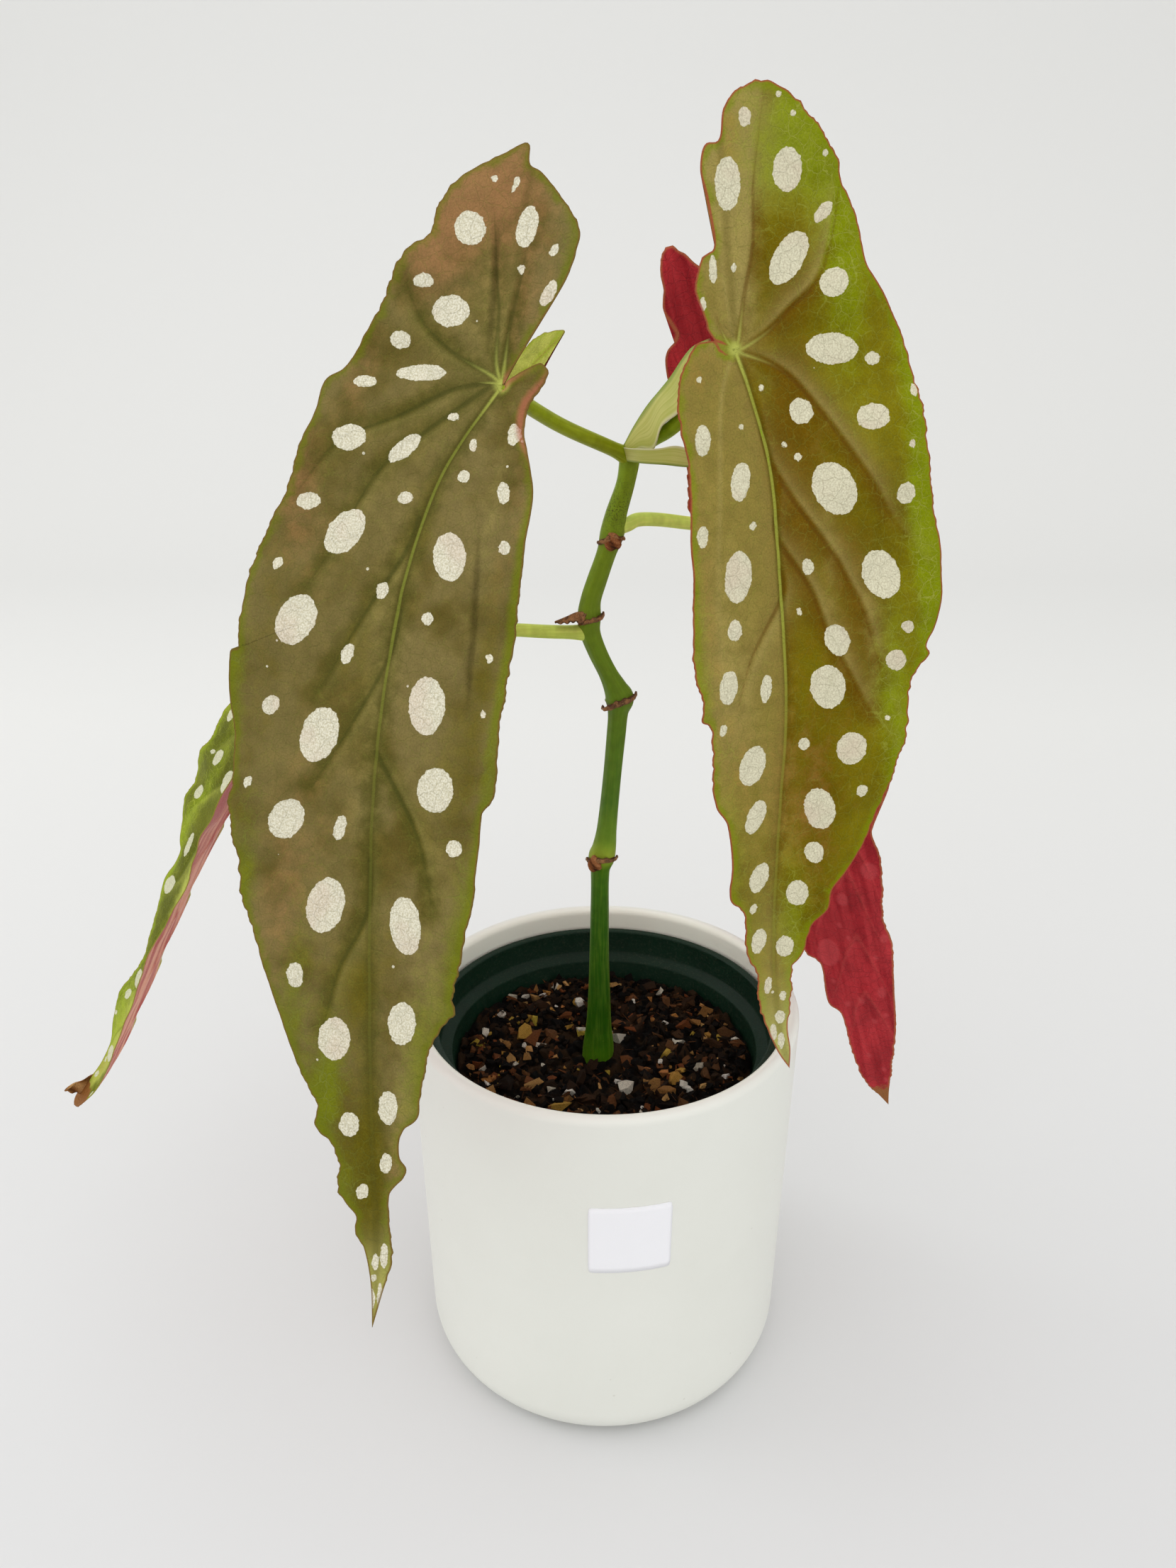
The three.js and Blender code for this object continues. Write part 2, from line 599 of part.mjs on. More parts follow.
// Points on an arc of a profile, from one angle to another in degrees.
function profileArc(centreRadius, centreHeight, radius, fromDeg, toDeg, steps) {
  const points = [];
  for (let i = 0; i <= steps; i += 1) {
    const angle = THREE.MathUtils.degToRad(fromDeg + ((toDeg - fromDeg) * i) / steps);
    points.push([centreRadius + radius * Math.cos(angle), centreHeight + radius * Math.sin(angle)]);
  }
  return points;
}

// The white ceramic pot: a foot with a wide round corner, a wall that flares a little and a round lip.
const POT_SECTORS = 52;
const potInnerRim = POT_RIM_RADIUS - POT_WALL;
const potInnerFoot = POT_FOOT_RADIUS - POT_WALL;
const innerCorner = POT_INNER_CORNER_RADIUS;
addPiece(
  "outer_pot",
  latheGeometry(
    [
      [0, 0],
      ...profileArc(POT_FOOT_RADIUS - POT_CORNER_RADIUS, POT_CORNER_RADIUS, POT_CORNER_RADIUS, -90, 0, 5),
      ...profileArc(POT_RIM_RADIUS - POT_LIP_RADIUS, POT_HEIGHT - POT_LIP_RADIUS, POT_LIP_RADIUS, 0, 180, 4),
      [potInnerRim, POT_HEIGHT - 2 * POT_LIP_RADIUS],
      ...profileArc(potInnerFoot - innerCorner, POT_FLOOR + innerCorner, innerCorner, 0, -90, 3),
      [0, POT_FLOOR],
    ],
    POT_SECTORS,
  ),
  ceramic,
);

// The blank paper label, curved to the pot's wall.
const LABEL_COLUMNS = 8;
function labelGeometry() {
  const wallRadius = (height) => {
    const share = (height - POT_CORNER_RADIUS) / (POT_HEIGHT - POT_CORNER_RADIUS);
    return THREE.MathUtils.lerp(POT_FOOT_RADIUS, POT_RIM_RADIUS, share);
  };
  const points = [];
  const normals = [];
  const triangles = [];
  const middleAngle = THREE.MathUtils.degToRad(LABEL_TURN_DEG - 90);
  const halfTurn = LABEL_WIDTH / 2 / POT_RIM_RADIUS;
  for (let column = 0; column <= LABEL_COLUMNS; column += 1) {
    const angle = middleAngle + halfTurn * ((2 * column) / LABEL_COLUMNS - 1);
    for (const side of [-0.5, 0.5]) {
      const height = LABEL_MIDDLE_HEIGHT + side * LABEL_HEIGHT;
      const radius = wallRadius(height) + GAP + LABEL_THICKNESS / 2;
      points.push(vector([radius * Math.cos(angle), radius * Math.sin(angle), height]));
      normals.push(vector([Math.cos(angle), Math.sin(angle), 0]));
    }
  }
  for (let column = 0; column < LABEL_COLUMNS; column += 1) {
    const a = 2 * column;
    triangles.push([a, a + 2, a + 3], [a, a + 3, a + 1]);
  }
  return sheetGeometry(points, normals, triangles, LABEL_THICKNESS);
}
addPiece("paper_label", labelGeometry(), paper);

// The nursery pot: thin green plastic, a tapered body, a step and a band with a rolled lip above it.
const NURSERY_SECTORS = 40;
const DRAIN_CUTTER_HEIGHT = 6;
const DRAIN_SIDES = 16;
const nurseryFloor = POT_FLOOR + GAP;
const bandFoot = NURSERY_TOP - NURSERY_BAND_HEIGHT;
const bandRadius = NURSERY_RIM_RADIUS - NURSERY_LIP;
const nurseryShell = solidFrom(
  latheGeometry(
    [
      [0, nurseryFloor],
      [NURSERY_BASE_RADIUS, nurseryFloor],
      [NURSERY_STEP_RADIUS, bandFoot - 1.5],
      [bandRadius, bandFoot],
      [bandRadius, NURSERY_TOP - 3],
      [NURSERY_RIM_RADIUS, NURSERY_TOP - 2.2],
      [NURSERY_RIM_RADIUS, NURSERY_TOP - 0.6],
      [NURSERY_RIM_RADIUS - 0.6, NURSERY_TOP],
      [bandRadius - NURSERY_WALL + 0.4, NURSERY_TOP],
      [bandRadius - NURSERY_WALL, NURSERY_TOP - 0.6],
      [bandRadius - NURSERY_WALL, bandFoot + 0.6],
      [NURSERY_STEP_RADIUS - NURSERY_WALL, bandFoot - 0.9],
      [NURSERY_BASE_RADIUS - NURSERY_WALL, nurseryFloor + NURSERY_WALL],
      [0, nurseryFloor + NURSERY_WALL],
    ],
    NURSERY_SECTORS,
  ),
);
let nurseryPot = nurseryShell;
for (let hole = 0; hole < DRAIN_HOLES; hole += 1) {
  const angle = (2 * Math.PI * hole) / DRAIN_HOLES;
  const [x, y] = [DRAIN_HOLE_RING * Math.cos(angle), DRAIN_HOLE_RING * Math.sin(angle)];
  const cutter = new THREE.CylinderGeometry(DRAIN_HOLE_RADIUS, DRAIN_HOLE_RADIUS, DRAIN_CUTTER_HEIGHT, DRAIN_SIDES);
  nurseryPot = nurseryPot.subtract(solidFrom(cutter.rotateX(Math.PI / 2).translate(x, y, nurseryFloor)));
}
addPiece("nursery_pot", geometryFrom(nurseryPot), greenPlastic);

// The cane, and the room it takes in the pieces that grow from it or hold it.
const CANE_RINGS = 56;
const CANE_SIDES = 10;
addPiece("cane", rodGeometry(CANE_STATIONS, CANE_RINGS, CANE_SIDES), caneGreen);
const caneRoom = solidFrom(rodGeometry(CANE_STATIONS, CANE_RINGS, CANE_SIDES, GAP));

// The soil: a plug that fills the nursery pot, with a bumpy top that dips at the edge, chunks of bark
// and perlite sunk in it, and a plain hole for the cane.
const SOIL_RINGS = 9;
const SOIL_SECTORS = 36;
function soilRadius(height) {
  const share = (height - nurseryFloor) / (bandFoot - 1.5 - nurseryFloor);
  return THREE.MathUtils.lerp(NURSERY_BASE_RADIUS, NURSERY_STEP_RADIUS, share) - NURSERY_WALL - 2 * GAP;
}

// The height of the soil's top: broad waves, a finer one, and the dip at the edge.
function soilHeight(x, y) {
  const waves = Math.sin(x * 0.31 + 1.3) * Math.cos(y * 0.27) + 0.6 * Math.sin(x * 0.83 - y * 0.71);
  const fine = 0.5 * Math.sin(x * 1.9 + y * 0.4) * Math.sin(y * 1.7 - x * 0.6);
  const edge = Math.max(Math.hypot(x, y) / soilRadius(SOIL_LEVEL) - SOIL_EDGE_START, 0);
  return SOIL_LEVEL + (SOIL_BUMP / 2) * (waves + fine) - SOIL_EDGE_DROP * edge ** 2;
}

function soilGeometry() {
  const bottom = nurseryFloor + NURSERY_WALL + GAP;
  const corners = [[0, 0, soilHeight(0, 0)]];
  for (let ring = 1; ring <= SOIL_RINGS; ring += 1) {
    const radius = (soilRadius(SOIL_LEVEL - 3) * ring) / SOIL_RINGS;
    for (let sector = 0; sector < SOIL_SECTORS; sector += 1) {
      const angle = (2 * Math.PI * sector) / SOIL_SECTORS;
      const [x, y] = [radius * Math.cos(angle), radius * Math.sin(angle)];
      corners.push([x, y, soilHeight(x, y)]);
    }
  }
  const footStart = corners.length;
  for (let sector = 0; sector < SOIL_SECTORS; sector += 1) {
    const angle = (2 * Math.PI * sector) / SOIL_SECTORS;
    corners.push([soilRadius(bottom) * Math.cos(angle), soilRadius(bottom) * Math.sin(angle), bottom]);
  }
  corners.push([0, 0, bottom]);
  const ringCorner = (ring, sector) => 1 + (ring - 1) * SOIL_SECTORS + (sector % SOIL_SECTORS);
  const index = [];
  for (let sector = 0; sector < SOIL_SECTORS; sector += 1) {
    index.push(0, ringCorner(1, sector), ringCorner(1, sector + 1));
    for (let ring = 1; ring < SOIL_RINGS; ring += 1) {
      const [a, b] = [ringCorner(ring, sector), ringCorner(ring, sector + 1)];
      const [c, d] = [ringCorner(ring + 1, sector), ringCorner(ring + 1, sector + 1)];
      index.push(a, c, b, b, c, d);
    }
    const [e, f] = [ringCorner(SOIL_RINGS, sector), ringCorner(SOIL_RINGS, sector + 1)];
    const [g, h] = [footStart + sector, footStart + ((sector + 1) % SOIL_SECTORS)];
    index.push(e, g, f, f, g, h, g, corners.length - 1, h);
  }
  const geometry = new THREE.BufferGeometry();
  geometry.setAttribute("position", new THREE.Float32BufferAttribute(corners.flat(), 3));
  geometry.setIndex(index);
  return geometry;
}
let soil = solidFrom(soilGeometry());
const draw = seededDraw(38);
const nearestChunk = CANE_FLARE_RADIUS + CHUNK_LARGEST;
for (let chunk = 0; chunk < CHUNK_COUNT; chunk += 1) {
  const reach = nearestChunk + (soilRadius(SOIL_LEVEL) - nearestChunk - CHUNK_LARGEST) * Math.sqrt(draw());
  const angle = 2 * Math.PI * draw();
  const size = CHUNK_SMALLEST + (CHUNK_LARGEST - CHUNK_SMALLEST) * draw() * draw();
  const [x, y] = [reach * Math.cos(angle), reach * Math.sin(angle)];
  const lump = new THREE.IcosahedronGeometry(size, 0)
    .scale(1, 0.55 + 0.45 * draw(), 0.45 + 0.4 * draw())
    .rotateX(0.7 * (draw() - 0.5))
    .rotateZ(Math.PI * draw())
    .translate(x, y, soilHeight(x, y) + 0.15 * size);
  soil = soil.add(solidFrom(lump));
}
addPiece("soil", geometryFrom(largestBody(soil.subtract(caneRoom))), bark);

// The leaves: blade, stalk and the small knot where they join are one piece, as they grew, and the
// stalk's foot is trimmed to the cane.
const STALK_RINGS = 14;
const STALK_SIDES = 8;
const KNOT_RADIUS = 2.3;
const leafColours = {
  leaf_front_left: leafGreen,
  leaf_front_right: leafLime,
  leaf_back_right: leafCrimson,
  leaf_back_left: leafLime,
};
const grownRooms = [];
for (const [name, leaf] of Object.entries(LEAVES)) {
  const stations = leaf.stalk.map((at, i) => ({ at, radius: i === 0 ? STALK_FOOT_RADIUS : STALK_RADIUS }));
  const knot = new THREE.IcosahedronGeometry(KNOT_RADIUS, 1).rotateX(0.4).translate(...leaf.stalk.at(-1));
  const whole = solidFrom(bladeGeometry(leaf))
    .add(solidFrom(rodGeometry(stations, STALK_RINGS, STALK_SIDES)))
    .add(solidFrom(knot))
    .subtract(caneRoom);
  addPiece(name, geometryFrom(largestBody(whole)), leafColours[name]);
  grownRooms.push(solidFrom(rodGeometry(stations, STALK_RINGS, STALK_SIDES, GAP)));
}

// What clasps the cane is trimmed to it, to the stalks beside it and to the stipule before it.
function trimmed(solid) {
  const cut = grownRooms.reduce((left, room) => left.subtract(room), solid.subtract(caneRoom));
  return geometryFrom(largestBody(cut));
}
for (const [name, stipule] of Object.entries(STIPULES)) {
  addPiece(name, trimmed(solidFrom(scaleGeometry(stipule, STIPULE_THICKNESS))), stipuleGreen);
  grownRooms.push(solidFrom(scaleGeometry(stipule, STIPULE_THICKNESS + 2 * GAP)));
}
for (const [name, collar] of Object.entries(COLLARS)) {
  let whole = solidFrom(collarGeometry(collar, COLLAR_THICKNESS));
  if (collar.shard) whole = whole.add(solidFrom(scaleGeometry(collar.shard, COLLAR_THICKNESS)));
  if (collar.knob) whole = whole.add(solidFrom(knobGeometry(collar.knob)));
  addPiece(name, trimmed(whole), dryBrown);
}

export default plant;
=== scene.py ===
import math

import bmesh
import bpy
import numpy as np
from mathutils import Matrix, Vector
from mathutils.kdtree import KDTree


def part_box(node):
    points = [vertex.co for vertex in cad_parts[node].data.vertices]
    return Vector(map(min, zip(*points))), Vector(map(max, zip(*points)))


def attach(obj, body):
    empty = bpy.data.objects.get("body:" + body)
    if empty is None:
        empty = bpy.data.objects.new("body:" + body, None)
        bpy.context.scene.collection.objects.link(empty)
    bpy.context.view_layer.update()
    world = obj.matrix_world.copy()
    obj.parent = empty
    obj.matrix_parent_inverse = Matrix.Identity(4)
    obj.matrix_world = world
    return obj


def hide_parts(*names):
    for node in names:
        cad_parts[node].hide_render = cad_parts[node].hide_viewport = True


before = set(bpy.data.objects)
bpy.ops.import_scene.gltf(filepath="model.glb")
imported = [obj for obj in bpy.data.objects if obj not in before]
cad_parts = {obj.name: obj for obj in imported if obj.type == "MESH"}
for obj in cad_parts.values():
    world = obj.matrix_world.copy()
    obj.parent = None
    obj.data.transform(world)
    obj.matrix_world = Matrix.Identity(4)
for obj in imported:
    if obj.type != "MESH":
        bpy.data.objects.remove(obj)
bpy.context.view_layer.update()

MM = 0.001

# The camera stands a little above the leaves and looks down at the plant from the front, close
# enough that the near leaf looks larger than the pot.
CAMERA_PLACE = (-5.1, -312.5, 326.5)
CAMERA_DOWN_DEG = 22.8
PHOTO_HEIGHT = 2212
FOCAL_PIXELS = 1662
SENSOR = 36
camera = bpy.data.objects.new("camera", bpy.data.cameras.new("camera"))
bpy.context.scene.collection.objects.link(camera)
camera.location = Vector(CAMERA_PLACE) * MM
camera.rotation_euler = (math.radians(90 - CAMERA_DOWN_DEG), 0, 0)
camera.data.sensor_width = SENSOR
camera.data.lens = SENSOR * FOCAL_PIXELS / PHOTO_HEIGHT
camera.data.clip_start = 0.01
bpy.context.scene.camera = camera
bpy.context.scene.view_settings.view_transform = "Standard"

# The studio: a seamless pale sheet that runs from the table up behind the plant, under soft light
# from a large lamp above, a wide one behind the camera and a weaker one at the left.
SHEET_FRONT = -2500
SHEET_BACK = 1100
SHEET_BEND = 700
SHEET_BEND_STEPS = 24
SHEET_HEIGHT = 2600
SHEET_HALF_WIDTH = 3200
SHEET_SHADE_FROM = -350
SHEET_SHADE_TO = 600
LAMPS = {
    "lamp_above": {"place": (-350, -250, 1500), "size": 1700, "watts": 4.5},
    "lamp_front": {"place": (350, -1050, 1250), "size": 1500, "watts": 3.5},
    "lamp_left": {"place": (-1500, 200, 700), "size": 1000, "watts": 3},
}
LAMP_AIM = Vector((0, 0, 180))
ROOM_LIGHT = 0.93


def srgb(red, green, blue):
    """A colour given in 0 to 255, as the linear value that a shader takes."""
    shares = [c / 255 for c in (red, green, blue)]
    return (*[((c + 0.055) / 1.055) ** 2.4 if c > 0.04 else c / 12.92 for c in shares], 1)


class Nodes:
    """A node tree. Its steps take plain values, other steps' sockets, and colours in 0 to 255."""

    def __init__(self, tree):
        self.tree = tree

    def feed(self, socket, value):
        """Link a socket to another, or set its plain value."""
        if isinstance(value, bpy.types.NodeSocket):
            self.tree.links.new(value, socket)
        else:
            socket.default_value = srgb(*value) if socket.type == "RGBA" else value

    def place(self, kind, inputs=None, **settings):
        """The outputs of a new node."""
        node = self.tree.nodes.new("ShaderNode" + kind)
        for key, value in settings.items():
            setattr(node, key, value)
        for key, value in (inputs or {}).items():
            self.feed(node.inputs[key], value)
        return node.outputs

    def mix(self, amount, below, above, mode="MIX"):
        """Two colours mixed by an amount."""
        return self.place("Mix", {0: amount, 6: below, 7: above}, data_type="RGBA", blend_type=mode)[2]

    def paint(self, base, *layers):
        """A colour with others laid over it in turn, each by its mask."""
        for mask, colour in layers:
            base = self.mix(mask, base, colour)
        return base

    def ease(self, value, low, high, to_low=0, to_high=1, kind="SMOOTHSTEP"):
        """A value taken from one range to another and kept inside it."""
        inputs = {"Value": value, "From Min": low, "From Max": high, "To Min": to_low, "To Max": to_high}
        return self.place("MapRange", inputs, interpolation_type=kind)["Result"]

    def spread(self, noise, low, high):
        """A noise, which mostly lies between 0.3 and 0.7, taken to another range."""
        return self.ease(noise, 0.3, 0.7, low, high)

    def calculate(self, operation, first, second=0):
        """One step of arithmetic."""
        return self.place("Math", {0: first, 1: second}, operation=operation)["Value"]

    def add(self, first, second):
        """The sum of two values."""
        return self.calculate("ADD", first, second)

    def times(self, first, second):
        """The product of two values."""
        return self.calculate("MULTIPLY", first, second)

    def noise(self, place, scale, detail, roughness=0.5):
        """Soft noise from 0 to 1."""
        inputs = {"Vector": place, "Scale": scale, "Detail": detail, "Roughness": roughness}
        return self.place("TexNoise", inputs)["Fac"]

    def cells(self, place, scale, feature="F1"):
        """The distance from the nearest cell's middle, or from its edge."""
        return self.place("TexVoronoi", {"Vector": place, "Scale": scale}, feature=feature)["Distance"]

    def value(self, name):
        """A number that the mesh carries at each point."""
        return self.place("Attribute", attribute_name=name)["Fac"]

    def mesh_place(self):
        """The place on a skin or blade that the mesh carries at each point."""
        return self.place("Attribute", attribute_name="place")["Vector"]

    def stretch(self, place, scale):
        """A place with each of its axes scaled."""
        return self.place("Mapping", {"Vector": place, "Scale": scale})["Vector"]

    def millimetres(self):
        """The object's own coordinates, in millimetres."""
        return self.stretch(self.place("TexCoord")["Object"], (1000, 1000, 1000))

    def use(self, group, **inputs):
        """The outputs of a node group."""
        return self.place("Group", inputs, node_tree=group.tree)

    def ramp(self, value, stops):
        """Colours by a value from 0 to 1, blended from stop to stop."""
        node = self.tree.nodes.new("ShaderNodeValToRGB")
        self.feed(node.inputs["Fac"], value)
        elements = node.color_ramp.elements
        for index, (share, colour) in enumerate(stops):
            stop = elements[index] if index < 2 else elements.new(0.5)
            stop.position = share
            stop.color = srgb(*colour)
        return node.outputs["Color"]


class Finish(Nodes):
    """A material with its Principled shader, whose plain values are set on the shader itself."""

    def __init__(self, name, roughness, **sockets):
        self.material = bpy.data.materials.new(name)
        self.material.use_nodes = True
        super().__init__(self.material.node_tree)
        self.shader = self.tree.nodes["Principled BSDF"]
        self.show(Roughness=roughness, **sockets)

    def show(self, **sockets):
        """Feed the shader's sockets, whose names are written with _ for a space."""
        for key, value in sockets.items():
            self.feed(self.shader.inputs[key.replace("_", " ")], value)

    def bump(self, height, size):
        """Fine relief, by its height from 0 to 1 and that height's size in millimetres."""
        inputs = {"Height": height, "Distance": size * MM, "Strength": 1}
        self.show(Normal=self.place("Bump", inputs)["Normal"])


def make_mesh(name, points, faces, *finishes, smooth=True):
    """A mesh object from points in millimetres."""
    mesh = bpy.data.meshes.new(name)
    mesh.from_pydata((np.asarray(points, float) * MM).tolist(), [], faces)
    for finish in finishes:
        mesh.materials.append(finish.material)
    if smooth:
        mesh.shade_smooth()
    thing = bpy.data.objects.new(name, mesh)
    bpy.context.scene.collection.objects.link(thing)
    return thing


sheet_line = [(SHEET_FRONT, 0)]
for step in range(SHEET_BEND_STEPS + 1):
    turn = math.radians(90 * step / SHEET_BEND_STEPS)
    sheet_line.append((SHEET_BACK + SHEET_BEND * math.sin(turn), SHEET_BEND * (1 - math.cos(turn))))
sheet_line.append((SHEET_BACK + SHEET_BEND, SHEET_HEIGHT))
sheet_points = [(side * SHEET_HALF_WIDTH, y, z) for y, z in sheet_line for side in (-1, 1)]
sheet_faces = [(2 * i, 2 * i + 1, 2 * i + 3, 2 * i + 2) for i in range(len(sheet_line) - 1)]
sheet = Finish("pale_sheet", 0.9, Specular_IOR_Level=0.1)
# Painted shade: the sheet is painted darker towards the front and lighter towards the back.
sheet_depth = sheet.place("SeparateXYZ", {"Vector": sheet.place("TexCoord")["Object"]})["Y"]
sheet_shade = sheet.ease(sheet_depth, SHEET_SHADE_FROM * MM, SHEET_SHADE_TO * MM, kind="LINEAR")
sheet.show(Base_Color=sheet.mix(sheet_shade, (214, 214, 216), (232, 232, 231)))
make_mesh("pale_sheet", sheet_points, sheet_faces, sheet)

for lamp_name, lamp in LAMPS.items():
    light = bpy.data.lights.new(lamp_name, "AREA")
    light.size = lamp["size"] * MM
    light.energy = lamp["watts"]
    holder = bpy.data.objects.new(lamp_name, light)
    holder.location = Vector(lamp["place"]) * MM
    holder.rotation_euler = (LAMP_AIM - Vector(lamp["place"])).to_track_quat("-Z", "Y").to_euler()
    bpy.context.scene.collection.objects.link(holder)
room = bpy.data.worlds.new("room")
room.use_nodes = True
room_air = room.node_tree.nodes["Background"].inputs
room_air["Color"].default_value = srgb(251, 251, 249)
room_air["Strength"].default_value = ROOM_LIGHT
bpy.context.scene.world = room

# The ceramic pot: slip-cast, with a wide round foot corner, a wall that flares a little and a soft
# lip. Its glaze is off-white, satin and faintly uneven.
pot_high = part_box("outer_pot")[1]
POT_HEIGHT = pot_high.z / MM
POT_RIM_RADIUS = pot_high.x / MM
POT_FLARE = 2
POT_FOOT_RADIUS = POT_RIM_RADIUS - POT_FLARE
POT_WALL = 4.5
POT_FLOOR = 6
POT_CORNER_RADIUS = 12
POT_INNER_CORNER = 9
POT_LIP_RADIUS = 2.2
POT_FOOT_HOLLOW = 1.2
POT_WALL_STEPS = 10
POT_SECTORS = 160


class Group(Nodes):
    """A shader node group. Its inputs and outputs are given by the kinds of their sockets."""

    def __init__(self, name, inputs, outputs):
        super().__init__(bpy.data.node_groups.new(name, "ShaderNodeTree"))
        for in_out, sockets in (("INPUT", inputs), ("OUTPUT", outputs)):
            for socket, kind in sockets.items():
                self.tree.interface.new_socket(socket, in_out=in_out, socket_type="NodeSocket" + kind)
        self.given = self.tree.nodes.new("NodeGroupInput").outputs
        self.results = self.tree.nodes.new("NodeGroupOutput").inputs

    def put(self, **outputs):
        """Feed the group's outputs."""
        for key, value in outputs.items():
            self.feed(self.results[key], value)


# Clouds: broad and fine noise, each from 0 to 1, from a place in millimetres.
clouds = Group(
    "clouds", {"Place": "Vector", "Broad": "Float", "Fine": "Float"}, {"Broad": "Float", "Fine": "Float"},
)
clouds.put(
    Broad=clouds.noise(clouds.given["Place"], clouds.given["Broad"], 3),
    Fine=clouds.noise(clouds.given["Place"], clouds.given["Fine"], 6, 0.65),
)


def turned_faces(rings, sectors, first, start, end):
    """Faces through rings of points, the first point of all by its number, closed by two end points."""
    faces = []
    last = first + (rings - 1) * sectors
    for sector in range(sectors):
        after = (sector + 1) % sectors
        faces.append((start, first + after, first + sector))
        for near in range(first, last, sectors):
            far = near + sectors
            faces.append((near + sector, near + after, far + after, far + sector))
        faces.append((end, last + sector, last + after))
    return faces


def lathe(name, line, sectors, finish):
    """A closed turned piece from a line of (radius, height) that starts and ends on the axis."""
    points = [(0, 0, line[0][1])]
    for radius, height in line[1:-1]:
        for sector in range(sectors):
            angle = 2 * math.pi * sector / sectors
            points.append((radius * math.cos(angle), radius * math.sin(angle), height))
    points.append((0, 0, line[-1][1]))
    return make_mesh(name, points, turned_faces(len(line) - 2, sectors, 1, 0, len(points) - 1), finish)


def arc_line(centre_radius, centre_height, radius, from_deg, to_deg, steps):
    """Points of a round stretch of a turned piece's line."""
    turns = [math.radians(from_deg + (to_deg - from_deg) * step / steps) for step in range(steps + 1)]
    return [(centre_radius + radius * math.cos(t), centre_height + radius * math.sin(t)) for t in turns]


glaze = Finish("white_glaze", 0.42, Specular_IOR_Level=0.45, Coat_Weight=0.12, Coat_Roughness=0.3)
glaze_place = glaze.millimetres()
glaze_cloud = glaze.use(clouds, Place=glaze_place, Broad=0.03, Fine=0.9)
flat_place = glaze.place("VectorMath", {0: glaze_place, 1: (1, 1, 0)}, operation="MULTIPLY")["Vector"]
from_axis = glaze.place("VectorMath", {0: flat_place}, operation="LENGTH")["Value"]
glaze_height = glaze.place("SeparateXYZ", {"Vector": glaze_place})["Z"]
inner_face = glaze.ease(from_axis, POT_RIM_RADIUS - 4.4, POT_RIM_RADIUS - 1.5, 1, 0)
# Painted light: the inside of the wall just under the lip is painted brighter, almost white.
painted_light_inner_rim = glaze.times(inner_face, glaze.ease(glaze_height, POT_HEIGHT - 30, POT_HEIGHT - 20))
glaze_colour = glaze.paint(
    glaze.mix(glaze_cloud["Broad"], (229, 230, 222), (236, 237, 230)),
    (glaze.ease(glaze.cells(glaze_place, 0.11), 0.03, 0.05, 0.35, 0), (196, 192, 180)),
    (painted_light_inner_rim, (251, 254, 240)),
)
glaze.show(Base_Color=glaze_colour, Roughness=glaze.spread(glaze_cloud["Fine"], 0.38, 0.5))
glaze.bump(glaze_cloud["Fine"], 0.05)
foot_ring = POT_FOOT_RADIUS - POT_CORNER_RADIUS
lip_start = POT_HEIGHT - POT_LIP_RADIUS
pot_line = [(0, POT_FOOT_HOLLOW), (foot_ring - 5, POT_FOOT_HOLLOW)]
pot_line += [(foot_ring - 3.6, 0.9), (foot_ring - 2.4, 0.1)]
pot_line += arc_line(foot_ring, POT_CORNER_RADIUS, POT_CORNER_RADIUS, -90, 0, 16)
for step in range(1, POT_WALL_STEPS):
    share = step / POT_WALL_STEPS
    rise = (lip_start - POT_CORNER_RADIUS) * share
    pot_line.append((POT_FOOT_RADIUS + POT_FLARE * share, POT_CORNER_RADIUS + rise))
pot_line += arc_line(POT_RIM_RADIUS - POT_LIP_RADIUS, lip_start, POT_LIP_RADIUS, 0, 180, 12)
pot_line.append((POT_RIM_RADIUS - POT_WALL, lip_start - POT_LIP_RADIUS))
inner_foot = POT_FOOT_RADIUS - POT_WALL - POT_INNER_CORNER
pot_line += arc_line(inner_foot, POT_FLOOR + POT_INNER_CORNER, POT_INNER_CORNER, 0, -90, 8)
pot_line.append((0, POT_FLOOR))
pot = lathe("ceramic_pot", pot_line, POT_SECTORS, glaze)
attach(pot, "root")
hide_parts("outer_pot")

# The label: a small blank sticker of white coated paper, pressed onto the front of the pot, with
# its corners cut a little round and its edges lying a hair proud.
label_low, label_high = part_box("paper_label")
LABEL_WIDTH = 24
LABEL_HEIGHT = (label_high.z - label_low.z) / MM
LABEL_MIDDLE = (label_low.z + label_high.z) / 2 / MM
LABEL_CORNER = 0.7
LABEL_CORNER_CUT = 0.6
LABEL_TURN_DEG = 6.5
LABEL_LIFTS = (0.28, 0.03)
LABEL_COLUMNS = 24
LABEL_ROWS = 12
label_paper = Finish("label_paper", 0.5, Specular_IOR_Level=0.4)
label_cloud = label_paper.use(clouds, Place=label_paper.millimetres(), Broad=0.15, Fine=3)
label_paper.show(Base_Color=label_paper.mix(label_cloud["Fine"], (243, 243, 247), (248, 248, 252)))
label_paper.bump(label_cloud["Fine"], 0.02)


def label_point(lift, row, column):
    """A point of the label over the pot's wall."""
    across = (column / LABEL_COLUMNS - 0.5) * LABEL_WIDTH
    up = (row / LABEL_ROWS - 0.5) * LABEL_HEIGHT
    beside = max(abs(across) - LABEL_WIDTH / 2 + LABEL_CORNER, 0)
    above = max(abs(up) - LABEL_HEIGHT / 2 + LABEL_CORNER, 0)
    across -= math.copysign(LABEL_CORNER_CUT * beside * above, across)
    up -= math.copysign(LABEL_CORNER_CUT * beside * above, up)
    height = LABEL_MIDDLE + up
    share = (height - POT_CORNER_RADIUS) / (POT_HEIGHT - POT_CORNER_RADIUS)
    radius = POT_FOOT_RADIUS + POT_FLARE * share + lift
    angle = math.radians(LABEL_TURN_DEG - 90) + across / POT_RIM_RADIUS
    return radius * math.cos(angle), radius * math.sin(angle), height


